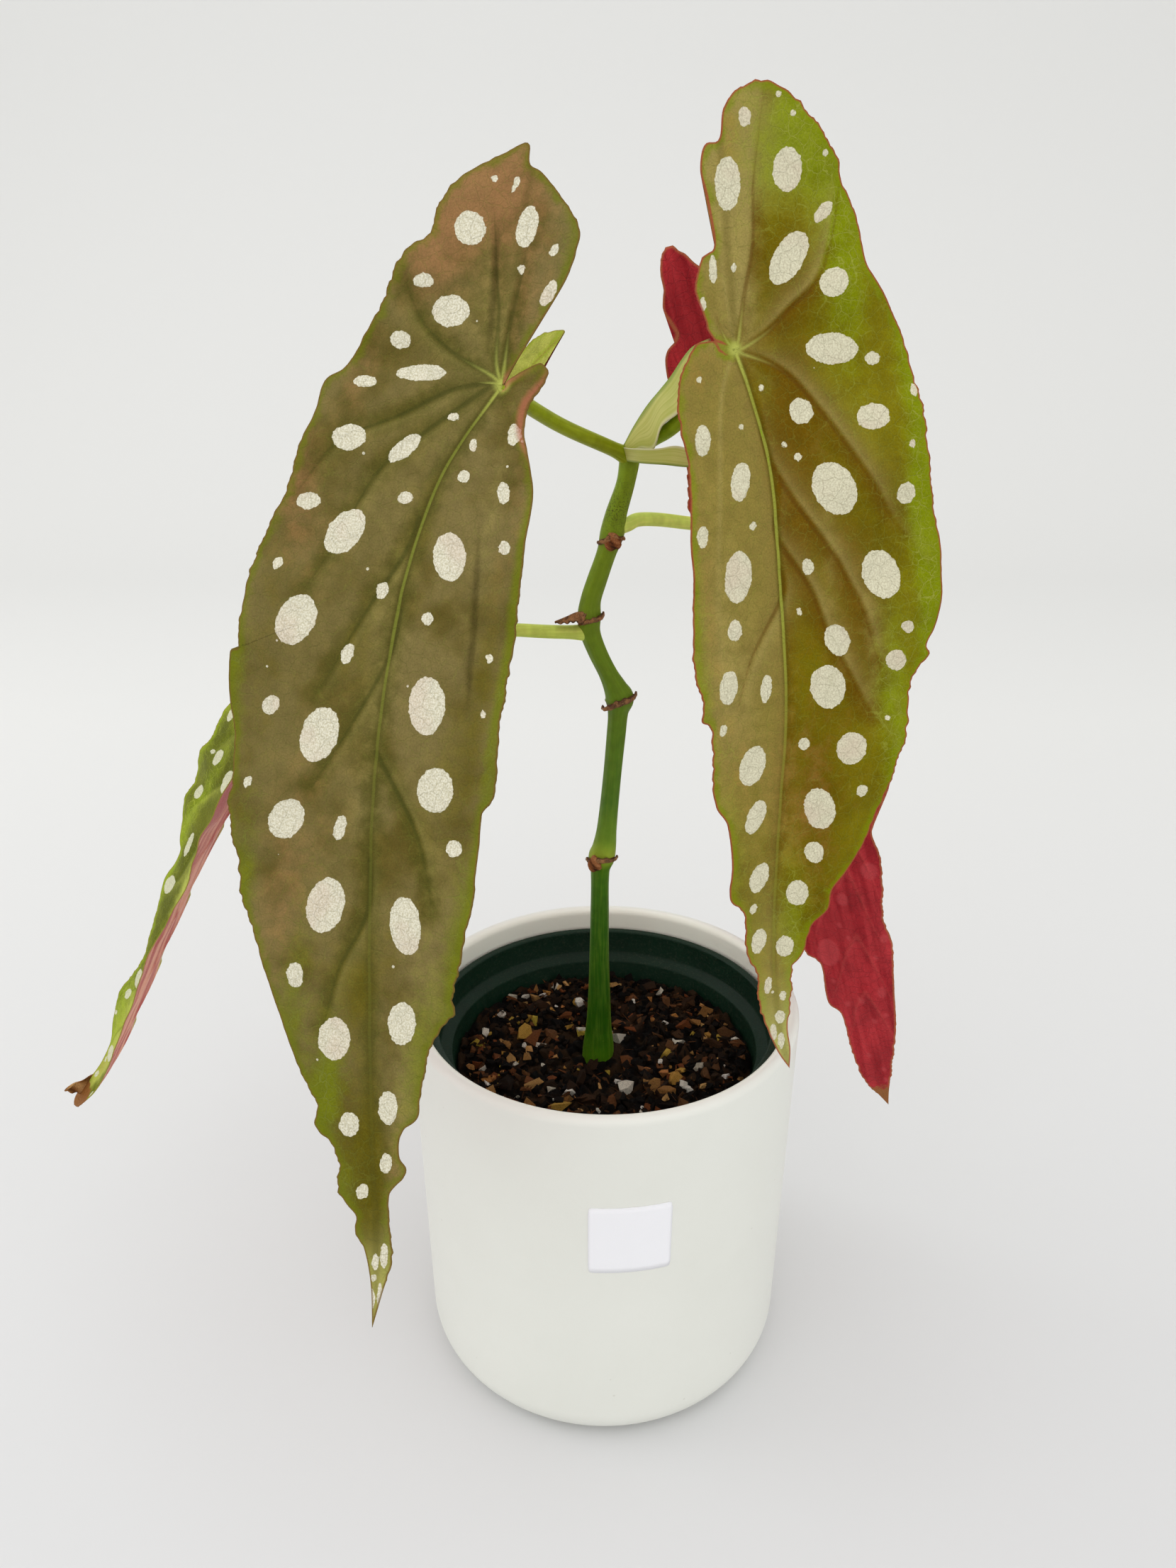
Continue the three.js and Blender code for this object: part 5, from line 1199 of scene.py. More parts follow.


# The look of each upper face: its greens, the colours of its soft patches, and where those lie. The pale
# patches are partly the leaf's paler colour and partly painted sheen and backlight, and the pale colour
# is also that of the painted sheen beside the veins. The lit strip is painted light: the paler ground to
# the left of a fold line, as strong along u as its pairs say. The midrib's pale line is partly a painted
# highlight, and its dark flanks are painted shade. A curl is a stretch of the right edge that rolls over,
# from u to u, with its width and its depth. The blade is dry from a place along u, and its underside
# fades along u as its pairs say.
LOOKS = {
    "leaf_front_left": {
        "dark": (94, 81, 33), "light": (122, 108, 63), "halo": (80, 77, 26), "rich": (93, 83, 8),
        "blush": (152, 110, 72), "lime": (108, 116, 14), "pale": (146, 134, 76), "vein": (62, 65, 24),
        "midrib": (122, 127, 50), "spot": (232, 228, 209), "rim": (118, 92, 44), "lit_strip": (104, 93, 46),
        "tip": (186, 180, 100), "painted_sheen": 0.36, "rib_light": (0.02, 0.9), "green_edge": 2.4,
        "rich_at": [
            (150, -16, 30, 10, 0.35), (175, -8, 20, 8, 0.6), (90, 2, 20, 5, 0.5), (60, -45, 40, 5, 0.3),
            (30, -12, 16, 5, 0.4), (62, -23, 9, 5, 0.5), (137, -13, 9, 4, 0.7), (70, 8, 30, 4, 0.6),
            (126, -6, 7, 3, 0.4), (186, -4, 16, 5, 0.8),
        ],
        "blush_at": [
            (-42, -8, 13, 13, 1), (-28, -20, 12, 9, 0.75), (-20, 2, 16, 8, 0.35), (26, -44, 14, 5, 0.6),
            (0, -34, 12, 5, 0.4), (40, -38, 12, 9, 0.22), (124, -34, 16, 7, 0.35), (30, 9, 24, 4, 0.25),
            (176, 2, 14, 3, 0.4), (100, -30, 24, 10, 0.25),
        ],
        "lime_at": [
            (60, 12, 70, 1.6, 0.7), (126, 10, 24, 3, 0.7), (150, 4, 20, 4, 0.6), (150, -28, 30, 4, 0.6),
            (-30, 11, 14, 2, 0.3), (66, -54, 12, 4, 0.8), (84, -52, 10, 3, 0.5), (120, -44, 22, 3, 0.7),
            (170, -18, 20, 4, 0.7), (186, -10, 10, 4, 0.6), (160, -18, 14, 5, 0.5),
        ],
        "pale_at": [
            (-14, -6, 12, 7, 0.4), (70, -18, 60, 5, 0.3), (30, 3, 22, 3, 0.35), (100, 2, 50, 5, 0.25),
            (164, 2, 24, 4, 0.55), (142, 6, 20, 4, 0.4),
        ],
        "tip_at": [(214, 0, 20, 9, 1)], "line": [(-52, 4), (-37, 2), (-22, 1), (0, 0)],
        "strength": [(-60, 0.3), (0, 0.2), (60, 0.3), (150, 0)], "curl": (-6, 18, 2.6, 1.4),
        "dry_from": 400, "fade": [(0, 0), (1, 0)],
    },
    "leaf_front_right": {
        "dark": (102, 88, 2), "light": (122, 112, 8), "halo": (106, 78, 6), "rich": (102, 72, 0),
        "blush": (150, 96, 46), "lime": (124, 138, 6), "pale": (158, 142, 80), "vein": (92, 58, 10),
        "midrib": (152, 156, 62), "spot": (226, 222, 194), "rim": (160, 72, 56), "lit_strip": (142, 125, 64),
        "tip": (188, 184, 108), "painted_sheen": 0.66, "rib_light": (0.05, 0.75), "green_edge": 2.2,
        "rich_at": [
            (20, 12, 22, 7, 0.9), (60, 22, 34, 8, 0.8), (45, 9, 24, 4, 0.7), (108, 10, 30, 8, 0.8),
            (-20, 14, 16, 7, 0.6),
        ],
        "blush_at": [
            (-44, 2, 10, 4, 0.4), (150, -2, 12, 5, 0.4), (108, 6, 24, 10, 0.4), (96, -10, 16, 5, 0.3),
            (4, -8, 6, 6, 0.3), (60, -14, 30, 3, 0.3),
        ],
        "lime_at": [
            (-20, 27, 28, 6, 0.9), (20, 42, 44, 4, 0.9), (90, 32, 30, 5, 0.8), (-46, 20, 10, 6, 0.7),
            (140, 2, 22, 6, 0.6), (60, 42, 24, 4, 0.7), (70, -17, 60, 2.5, 0.45), (120, -12, 30, 3, 0.4),
            (-40, 14, 14, 12, 0.7),
        ],
        "pale_at": [
            (-46, 2, 14, 8, 1), (-30, 0, 24, 6, 0.8), (-8, 3, 10, 3, 0.5), (72, -9, 34, 7, 0.45),
            (-42, 14, 12, 10, 0.8), (50, 18, 30, 2.6, 0.3), (70, 27, 20, 3, 0.4), (80, -14, 40, 5, 0.4),
            (106, 3, 26, 12, 0.3),
        ],
        "tip_at": [(182, -2, 22, 9, 1), (142, -4, 26, 9, 0.35)],
        "line": [(-54, 11), (-34, 7), (-22, 6), (-11, 3), (0, 0)],
        "strength": [(-60, 0.9), (0, 0.8), (80, 0.75), (120, 0.35), (170, 0.2)], "curl": (0, 1, 1, 0),
        "dry_from": 400, "fade": [(0, 0), (1, 0)],
    },
    "leaf_back_right": {
        "dark": (84, 80, 20), "light": (106, 98, 34), "halo": (80, 76, 14), "rich": (86, 74, 6),
        "blush": (140, 90, 54), "lime": (118, 130, 30), "pale": (140, 134, 74), "vein": (70, 76, 20),
        "midrib": (136, 146, 60), "spot": (222, 218, 190), "rim": (120, 80, 44), "lit_strip": (98, 90, 34),
        "tip": (150, 110, 60), "painted_sheen": 0.4, "rib_light": (0.3, 0.5), "green_edge": 2,
        "rich_at": [(60, 10, 40, 10, 0.6), (140, -8, 30, 8, 0.5)],
        "blush_at": [(200, 0, 20, 10, 0.6), (-60, -4, 14, 10, 0.6)],
        "lime_at": [(100, 22, 60, 3, 0.7), (100, -24, 60, 3, 0.7), (10, -24, 30, 4, 0.6)],
        "pale_at": [(-30, 0, 20, 6, 0.5)], "tip_at": [], "line": [(-74, 0), (-40, -3), (0, 0)],
        "strength": [(-60, 0.3), (150, 0)], "curl": (0, 1, 1, 0), "dry_from": 214,
        "fade": [(0, 0), (1, 0)],
    },
    "leaf_back_left": {
        "dark": (84, 90, 18), "light": (110, 114, 34), "halo": (100, 106, 20), "rich": (84, 82, 10),
        "blush": (150, 110, 60), "lime": (148, 168, 30), "pale": (194, 200, 92), "vein": (100, 112, 32),
        "midrib": (176, 184, 70), "spot": (214, 218, 184), "rim": (150, 140, 60), "lit_strip": (128, 132, 54),
        "tip": (180, 176, 90), "painted_sheen": 0.3, "rib_light": (0.1, 0.3), "green_edge": 2,
        "rich_at": [(76, -14, 30, 8, 0.7), (120, -8, 20, 6, 0.4)], "blush_at": [(200, -6, 8, 6, 0.5)],
        "lime_at": [
            (130, -18, 50, 4, 0.8), (60, -30, 50, 4, 0.7), (185, -10, 24, 6, 0.7), (100, 20, 60, 5, 0.8),
            (150, 14, 40, 4, 1),
        ],
        "pale_at": [
            (190, -6, 26, 8, 0.8), (120, 12, 50, 3, 0.8), (130, -3, 90, 3.2, 1), (-60, 0, 24, 24, 0.9),
        ],
        "tip_at": [], "line": [(-74, -6), (0, 0)], "strength": [(-60, 0.2), (150, 0)],
        "curl": (0, 1, 1, 0), "dry_from": 203, "fade": [(40, 0.2), (80, 0.7), (130, 0.88), (210, 1)],
    },
}
# How much of each patch's colour shows at most, in the order in which the patches are laid on.
PATCH_COVER = {"rich": 0.85, "pale": 0.8, "blush": 0.8, "lime": 0.85}

# Leaf grain: broad clouds, fine pebbling and a net of the finest veins, from a place on the blade.
GRAIN_OUTPUTS = ("Broad", "Middle", "Fine", "Net", "Height")
leaf_grain = Group("leaf_grain", {"Place": "Vector"}, dict.fromkeys(GRAIN_OUTPUTS, "Float"))
blade_place = leaf_grain.given["Place"]
middle_inputs = {"Vector": blade_place, "Scale": 0.22, "Detail": 5, "Roughness": 0.6}
middle_grain = leaf_grain.place("TexNoise", middle_inputs)
fine_grain = leaf_grain.noise(blade_place, 2.4, 4)
bend = leaf_grain.place("VectorMath", {0: middle_grain["Color"], 3: 3}, operation="SCALE")["Vector"]
bent_place = leaf_grain.place("VectorMath", {0: blade_place, 1: bend})["Vector"]
net_lines = leaf_grain.ease(leaf_grain.cells(bent_place, 0.3, "DISTANCE_TO_EDGE"), 0, 0.045, 1, 0)
small_lines = leaf_grain.ease(leaf_grain.cells(bent_place, 0.85, "DISTANCE_TO_EDGE"), 0, 0.09, 0.45, 0)
net = leaf_grain.calculate("MAXIMUM", net_lines, small_lines)
pebbled = leaf_grain.add(fine_grain, leaf_grain.cells(blade_place, 1.7))
leaf_grain.put(
    Broad=leaf_grain.noise(blade_place, 0.045, 3, 0.6),
    Middle=middle_grain["Fac"],
    Fine=fine_grain,
    Net=net,
    Height=leaf_grain.calculate("SUBTRACT", pebbled, net),
)

# Silver spots: crisp scalloped edges round the spots' distances, and chance dots far smaller.
SILVER_OUTPUTS = ("Spot", "Dots", "Pores")
silver_spots = Group(
    "silver_spots", {"Place": "Vector", "Distance": "Float"}, dict.fromkeys(SILVER_OUTPUTS, "Float"),
)
spot_place = silver_spots.given["Place"]
scallop = silver_spots.times(silver_spots.cells(spot_place, 1.25), 0.36)
wobble = silver_spots.times(silver_spots.noise(spot_place, 0.5, 3), 0.75)
spot_edge = silver_spots.add(silver_spots.add(silver_spots.given["Distance"], scallop), wobble)
dot_cells = silver_spots.place("TexVoronoi", {"Vector": spot_place, "Scale": 0.16})
dot_chance = silver_spots.place("SeparateColor", {"Color": dot_cells["Color"]})["Red"]
dot_size = silver_spots.ease(dot_chance, 0.45, 1, 0, 0.075, "LINEAR")
dot_edge = silver_spots.calculate("SUBTRACT", dot_size, dot_cells["Distance"])
silver_spots.put(
    Spot=silver_spots.ease(spot_edge, 0.42, 0.58, 1, 0),
    Dots=silver_spots.ease(dot_edge, 0, 0.012, 0, 0.85),
    Pores=silver_spots.ease(silver_spots.cells(spot_place, 0.3), 0.05, 0.09, 1, 0),
)


def upper_finish(name, look):
    """The spotted upper face of one leaf."""
    face = Finish(name, 0.5, Specular_IOR_Level=0.035)
    spot = face.mesh_place()
    grain = face.use(leaf_grain, Place=spot)
    silver = face.use(silver_spots, Place=spot, Distance=face.value("spot"))
    vein_gap = face.value("vein")
    margin = face.value("margin")
    root = face.value("root")
    rib_gap = face.calculate("ABSOLUTE", face.value("aside"))
    ground = face.add(grain["Broad"], face.ease(vein_gap, 0.4, 6, -0.08, 0.05))
    nearest = face.add(face.calculate("MINIMUM", vein_gap, rib_gap), face.spread(grain["Middle"], -1, 1))
    uneven = face.spread(grain["Middle"], -0.14, 0.14)
    base = face.paint(
        face.mix(face.ease(ground, 0.36, 0.64), look["dark"], look["light"]),
        (face.ease(nearest, 0.2, 4.5, 0.75, 0), look["halo"]),
        # Painted light: the lit strip beside the fold line.
        (face.value("lit_strip"), look["lit_strip"]),
    )
    # Of these patches the pale ones are partly the leaf's paler colour and partly painted sheen and
    # backlight.
    for patch, most in PATCH_COVER.items():
        broken = face.add(face.value(patch), uneven)
        base = face.mix(face.ease(broken, 0.06, 1, 0, most), base, look[patch])
    # Painted sheen: the pale colour laid beside the veins and along the sheen veins.
    base = face.mix(face.value("painted_sheen"), base, look["pale"])
    base = face.mix(1, base, face.spread(grain["Middle"], 0.91, 1.09), "MULTIPLY")
    base = face.mix(1, base, face.spread(grain["Fine"], 0.9, 1.1), "MULTIPLY")
    net_share = face.add(face.times(face.value("lime"), 0.75), 0.2)
    rough_margin = face.add(margin, face.spread(grain["Middle"], -0.9, 0.9))
    # The midrib's pale line: partly its own paler green, partly a painted highlight along its ridge.
    rib_light = face.ease(face.value("rib"), *look["rib_light"])
    # Painted shade along both flanks of the midrib's groove.
    midrib_shade = face.times(face.ease(rib_gap, 0.2, 1.5, 0.6, 0), face.calculate("MAXIMUM", rib_light, 0.5))
    base = face.paint(
        base,
        (face.times(grain["Net"], net_share), look["midrib"]),
        (face.ease(vein_gap, 0.3, 0.95, 0.5, 0), look["vein"]),
        (face.ease(rough_margin, 0.2, look["green_edge"], 0.6, 0), look["lime"]),
        (face.ease(face.value("tip"), 0.1, 1, 0, 0.85), look["tip"]),
        # Painted shade beside the midrib.
        (midrib_shade, face.mix(0.5, look["dark"], (40, 44, 6))),
        # The midrib's pale line, partly painted highlight.
        (face.times(face.ease(rib_gap, 0.2, 0.5, 0.9, 0), rib_light), look["midrib"]),
        (face.ease(root, 0.1, 1, 0, 0.9), (184, 188, 92)),
        # Painted shade in the creases.
        (face.ease(face.value("crease"), 0, 1, 0, 0.5), (46, 38, 8)),
    )
    silver_tone = face.paint(
        face.mix(face.ease(grain["Fine"], 0.35, 0.65), (202, 195, 168), look["spot"]),
        (face.ease(grain["Broad"], 0.52, 0.66, 0, 0.25), (206, 174, 158)),
        (face.times(silver["Pores"], 0.2), (120, 112, 80)),
        (face.times(grain["Net"], 0.2), (156, 152, 112)),
    )
    shown = face.calculate("MAXIMUM", silver["Spot"], silver["Dots"])
    dry = face.add(face.value("dry"), face.spread(grain["Middle"], -0.2, 0.2))
    base = face.paint(
        base,
        (shown, silver_tone),
        (face.ease(face.value("turned"), 0.3, 1, 0, 0.75), (176, 104, 82)),
        (face.ease(face.add(margin, root), 0.15, 0.55, 0.85, 0), look["rim"]),
        (face.ease(dry, 0.4, 0.6), face.mix(grain["Fine"], (96, 56, 26), (168, 114, 62))),
    )
    face.show(Base_Color=base, Roughness=face.spread(grain["Fine"], 0.44, 0.56))
    face.bump(face.add(grain["Height"], face.times(shown, 0.5)), 0.08)
    return face


under = Finish("crimson_underside", 0.42, Specular_IOR_Level=0.1)
under_place = under.mesh_place()
under_grain = under.use(leaf_grain, Place=under_place)
fibres = under.noise(under.stretch(under_place, (0.03, 0.4, 1)), 1, 5)
under_cloud = under.ease(under_grain["Broad"], 0.38, 0.62, 0.86, 1.14)
under_fade = under.value("fade")
under_dry = under.add(under.value("dry"), under.spread(under_grain["Middle"], -0.25, 0.25))
under_fold = under.ease(under.calculate("ABSOLUTE", under.value("aside")), 0.4, 2.2, 0.9, 0)
crimson = under.mix(under.ease(fibres, 0.35, 0.65), (158, 34, 42), (184, 52, 58))
crimson = under.paint(
    under.mix(1, crimson, under_cloud, "MULTIPLY"),
    (under.times(under_grain["Net"], 0.25), (92, 10, 20)),
    (under.ease(under.value("spot"), -0.6, 0.6, 0.38, 0), (206, 84, 88)),
    (under.ease(under.value("vein"), 0.2, 1.1, 0.22, 0), (196, 82, 76)),
    (under_fade, under.mix(under.ease(fibres, 0.4, 0.6), (192, 100, 92), (232, 172, 146))),
    (under.ease(under.value("margin"), 0.15, 0.9, 0.8, 0), (176, 108, 70)),
    (under.ease(under_dry, 0.3, 0.7), (150, 98, 56)),
    (under.times(under_fold, under_fade), (172, 180, 70)),
)
under.show(Base_Color=crimson, Roughness=under.spread(under_grain["Fine"], 0.36, 0.5))
under.bump(under_grain["Height"], 0.09)
dry_tip_finish = earth_finish("dry_leaf_tip", [(116, 72, 38), (166, 116, 68), (196, 150, 98)], 0.75, 0.2)


def sheet_mesh(name, middle, thickness, finish, **values):
    """A thin closed sheet from a grid of points in the middle of it, with values for its finish."""
    rows, columns = middle.shape[:2]
    normals = np.cross(np.gradient(middle, axis=1), np.gradient(middle, axis=0))
    normals /= np.maximum(np.linalg.norm(normals, axis=2, keepdims=True), 1e-6)
    lift = normals * (np.asarray(thickness) / 2)[..., None]
    points = np.vstack([(middle + lift).reshape(-1, 3), (middle - lift).reshape(-1, 3)])
    thing = make_mesh(name, points, closed_sheet_faces(rows - 1, columns - 1), finish)
    add_values(thing, **{key: np.tile(numbers.ravel(), 2) for key, numbers in values.items()})
    return thing


def horned_tip(blade):
    """The left horn of a tip that dried and split in two, a small crisp sheet that curls."""
    out = np.linspace(0, 1, HORN_ROWS + 1)[:, None, None]
    side = np.linspace(-1, 1, HORN_COLUMNS + 1)[None, :, None]
    root_left, root_right = blade.surface(np.array(HORN_ROOT_U), np.array(HORN_ROOT_V))
    root_line = root_left + (root_right - root_left) * (side + 1) / 2
    middle = root_line * (1 - out) + np.array(HORN_APEX) * out
    ragged = 0.5 * np.sin(11 * out + 2 * side) * np.abs(side) * np.sin(math.pi * out)
    curled = 1.6 * np.sin(math.pi * out) * (1 - side**2)
    middle = middle + ragged * blade.across + curled * blade.up
    tone = 0.5 + 0.5 * np.sin(6 * out[..., 0] + 3 * side[..., 0])
    return sheet_mesh("dry_horn", middle, 0.35, dry_tip_finish, tone=tone)


def stalk_finish(name, green):
    """Smooth stalk skin, with painted light that makes it paler towards its outline."""
    finish = Finish(name, 0.38, Specular_IOR_Level=0.12)
    pale = [min(c + 40, 255) for c in green]
    # Painted light: paler where the skin turns away from the camera.
    facing = finish.place("LayerWeight", {"Blend": 0.35})["Facing"]
    edge_lit_green = finish.mix(finish.ease(facing, 0.3, 0.9, 0, 0.5), green, pale)
    stalk_skin = finish.use(skin, Place=finish.mesh_place(), Green=edge_lit_green, Pale=pale)
    finish.show(Base_Color=stalk_skin["Colour"], Roughness=stalk_skin["Roughness"])
    finish.bump(stalk_skin["Height"], 0.1)
    return finish


def leaf_stalk(leaf_name, leaf, blade):
    """The stalk from the cane to the joint, which runs on as a rib under the blade."""
    path = smooth_line(leaf["stalk"], STALK_RINGS)
    share = np.linspace(0, 1, len(path))
    radii = STALK_RADIUS * (1 - 0.08 * share) + 0.5 * bell(share, 0.07) + 0.35 * bell(1 - share, 0.05)
    rib_u = np.linspace(*RIB_STRETCH, RIB_RINGS)
    rib_v = read_curve(blade.midrib, rib_u)
    rib_radii = np.linspace(*RIB_RADII, RIB_RINGS)
    rib_path = blade.surface(rib_u, rib_v) - blade.normals(rib_u, rib_v) * (rib_radii + 0.25)[:, None]
    finish = stalk_finish("stalk_" + leaf_name, leaf["stalk_green"])
    whole, whole_radii = np.vstack([path, rib_path]), np.concatenate([radii, rib_radii])
    return sweep(leaf_name + "_stalk", whole, whole_radii, STALK_SIDES, finish)


def swell(share):
    """Almost 0 at both ends of a line and 1 in its middle."""
    return np.sin(math.pi * np.clip(share, 0.02, 0.98))


def vein_values(blade, places):
    """How far each place is from the nearest vein, and the painted sheen beside veins and on sheen veins.
    """
    vein_gap = np.full(len(places), 6.0)
    painted_sheen = np.zeros(len(places))
    for vein in blade.leaf["veins"] or side_veins(blade):
        gap, share, sideways = distance_to_line(places, smooth_line(vein, 24))
        vein_gap = np.minimum(vein_gap, gap + 0.55 * share)
        beside = np.clip((sideways - 0.5) / 0.9, 0, 1) * np.exp(-np.clip(sideways - 1.4, 0, None) / 2.3)
        painted_sheen = np.maximum(painted_sheen, beside * (gap < 12) * swell(share) ** 0.6)
    # Painted sheen along the sheen veins: a pale line on each.
    for vein in blade.leaf["sheen_veins"]:
        gap, share, _ = distance_to_line(places, smooth_line(vein, 24))
        painted_sheen = np.maximum(painted_sheen, 0.9 * bell(gap, 0.6) * (1 - share**3))
    return vein_gap, painted_sheen


def two_faced(triangles, count):
    """The triangles of the upper face, those of the underside, and the walls where an edge is open."""
    forward = np.vstack([triangles[:, [0, 1]], triangles[:, [1, 2]], triangles[:, [2, 0]]])
    codes = forward[:, 0] * count + forward[:, 1]
    open_edges = forward[~np.isin(codes, forward[:, 1] * count + forward[:, 0])]
    start, end = open_edges.T
    near_walls = np.column_stack([start, start + count, end])
    far_walls = np.column_stack([end, start + count, end + count])
    return np.vstack([triangles, triangles[:, [0, 2, 1]] + count, near_walls, far_walls])


def leaf_blade(leaf_name, leaf, look, number, blade):
    """The blade with both its faces, and the values that its finishes read."""
    places, triangles = blade.places()
    u, v = places.T
    aside = blade.aside(u, v)
    margin = np.clip(edge_distance(places, blade.rims), 0, 8)
    spots = leaf["spots"] + chance_spots(blade, FIRST_SPOT_SEED + number, leaf["chance"])
    vein_gap, painted_sheen = vein_values(blade, places)
    # Creases: a dip in both faces, and painted shade along them in the upper face.
    crease = np.zeros(len(places))
    for line in leaf["creases"]:
        gap, share, _ = distance_to_line(places, smooth_line(line, 16))
        crease = np.maximum(crease, bell(gap, 0.9) * swell(share) ** 0.5)
    rib = read_curve([(-2, 0), (1, 1), (50, 0.8), (90, 0.4), (150, 0.25), (blade.length, 0)], u)
    reach = np.hypot(u, v)
    rays = bell(np.minimum(vein_gap, aside * (u > 0) + 6 * (u < 0)), 0.65) * bell(reach, 11)
    fold_line = read_curve([*look["line"], *leaf["midrib"][1:], (blade.length, 0)], u)
    curl_from, curl_to, curl_width, curl_depth = look["curl"]
    window = np.sin(math.pi * np.clip((u - curl_from) / (curl_to - curl_from), 0, 1)) ** 0.7 * (v > 0)
    rolled = np.clip(1 - margin / curl_width, 0, 1) * window
    body = np.clip(margin / 6, 0, 1)
    quilt = 0.22 * np.clip(vein_gap / 5, 0, 1) * body * (1 + 0.6 * np.sin(u * 0.35) * np.sin(v * 0.5))
    on_body = (u > 0) & (u < blade.length - 2)
    groove = 0.35 * bell(aside, 0.8) * rib * on_body + 0.2 * bell(vein_gap, 0.8) * body
    ridge = 0.85 * bell(aside, 1.2) * rib * on_body + 0.45 * bell(vein_gap, 0.9) * body
    thickness = EDGE_THICKNESS + (MIDDLE_THICKNESS - EDGE_THICKNESS) * np.clip(margin / 5, 0, 1)
    bend = -curl_depth * rolled**2 - 0.5 * crease
    middle = blade.surface(u, v)
    normals = blade.normals(u, v)
    top = middle + normals * (thickness / 2 + quilt - groove + bend)[:, None]
    bottom = middle - normals * (thickness / 2 - quilt + ridge - bend)[:, None]
    faces = two_faced(triangles, len(places))
    upper = upper_finish("upper_" + leaf_name, look)
    thing = make_mesh(leaf_name + "_blade", np.vstack([top, bottom]), faces.tolist(), upper, under)
    material_index = np.zeros(len(faces), np.int32)
    material_index[len(triangles):2 * len(triangles)] = 1
    thing.data.polygons.foreach_set("material_index", material_index)
    values = {
        "spot": spot_distance(places, spots), "margin": margin, "vein": vein_gap,
        "aside": np.clip(aside, -6, 6), "rib": rib, "crease": crease, "painted_sheen": painted_sheen * look["painted_sheen"],
        "root": np.maximum(bell(reach, 2), 0.7 * rays),
        "turned": np.clip(1.5 * rolled, 0, 1) * (curl_depth > 0),
        # Painted light on the side of the fold line.
        "lit_strip": np.clip((fold_line - v + 0.3) / 0.9, 0, 1) * read_curve(look["strength"], u),
        "dry": np.clip((u - look["dry_from"]) / 6, 0, 1), "fade": read_curve(look["fade"], u),
    }
    for patch in (*PATCH_COVER, "tip"):
        values[patch] = soft_patches(places, look[patch + "_at"])
    add_values(thing, **{key: np.tile(numbers, 2) for key, numbers in values.items()})
    blade_places = np.column_stack([u + PATTERN_SHIFT * number, v, 0 * u])
    add_places(thing, np.tile(blade_places, (2, 1)))
    return thing


for number, (leaf_name, leaf) in enumerate(LEAVES.items()):
    blade = Blade(leaf)
    sheet = leaf_blade(leaf_name, leaf, LOOKS[leaf_name], number, blade)
    horn = [horned_tip(blade)] if leaf_name == "leaf_back_left" else []
    for piece in (sheet, leaf_stalk(leaf_name, leaf, blade), *horn):
        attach(piece, "root")
        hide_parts(leaf_name)

# The fresh stipules: two papery scales that wrapped the bud at the cane's tip. Each is folded along
# a keel that ends in a fine bristle. They are pale green with fine lengthwise veins.
STIPULES = {
    "stipule_upright": {
        "keel": [
            (4.2, -2.9, 290), (6.5, -4.2, 294.5), (9.5, -6.5, 299.5), (12.5, -9.5, 303.5),
            (15, -12.5, 307), (17.3, -16, 311), (19.5, -19.5, 314), (22.9, -23, 315.8),
        ],
        "near": [
            (0.6, -0.7, -2.2), (1.4, -2.2, -5.4), (2, -3, -9.5), (0.9, -3, -7.5), (2, -4, -7.8),
            (2, -3, -6.5), (1.8, -2.2, -3.8), (0.3, -0.3, -0.5),
        ],
        "far": [
            (-0.3, 1.2, -1.2), (0.7, 2, -2.8), (1.8, 2.2, -4.6), (2.8, 2.2, -5.6), (3, 2.2, -5.8),
            (2.6, 1.8, -4.6), (1.6, 1, -2.6), (0.3, 0.2, -0.5),
        ],
    },
    "stipule_side": {
        "keel": [
            (5, -3.2, 286), (8.3, -9, 286.3), (13.8, -13.4, 286.5), (19.8, -16.6, 286.4),
            (24.2, -18.2, 287.4), (27.2, -19.2, 289.4),
        ],
        "near": [
            (-1, -0.9, 3.6), (-0.4, -1.4, 3.4), (0, -1.3, 4), (0.2, -1.2, 4.6), (0, -0.9, 3.4),
            (0, -0.3, 0.5),
        ],
        "far": [
            (1.2, 0.2, 1), (0.6, 0.9, 1.3), (0.3, 1.5, 1.8), (0.3, 1.8, 2.4), (0.2, 1.3, 1.8),
            (0, 0.3, 0.4),
        ],
    },
}
SCALE_ROWS = 90
SCALE_COLUMNS = 40


def scale_grid(shape, rows, columns):
    """The middle surface of a folded scale, from its keel and the reach of its two flaps."""
    keel = smooth_line(shape["keel"], rows)
    stations = np.linspace(0, rows, len(shape["keel"]))
    flaps = {}
    for side in ("near", "far"):
        curves = [list(zip(stations, column)) for column in np.array(shape[side], float).T]
        flaps[side] = np.column_stack([read_curve(curve, np.arange(rows + 1)) for curve in curves])
    step = np.linspace(-1, 1, columns + 1)
    middle = np.empty((rows + 1, columns + 1, 3))
    for index, value in enumerate(step):
        middle[:, index] = keel + flaps["near" if value < 0 else "far"] * abs(value) ** 0.9
    return middle, np.repeat(step[None], rows + 1, axis=0)


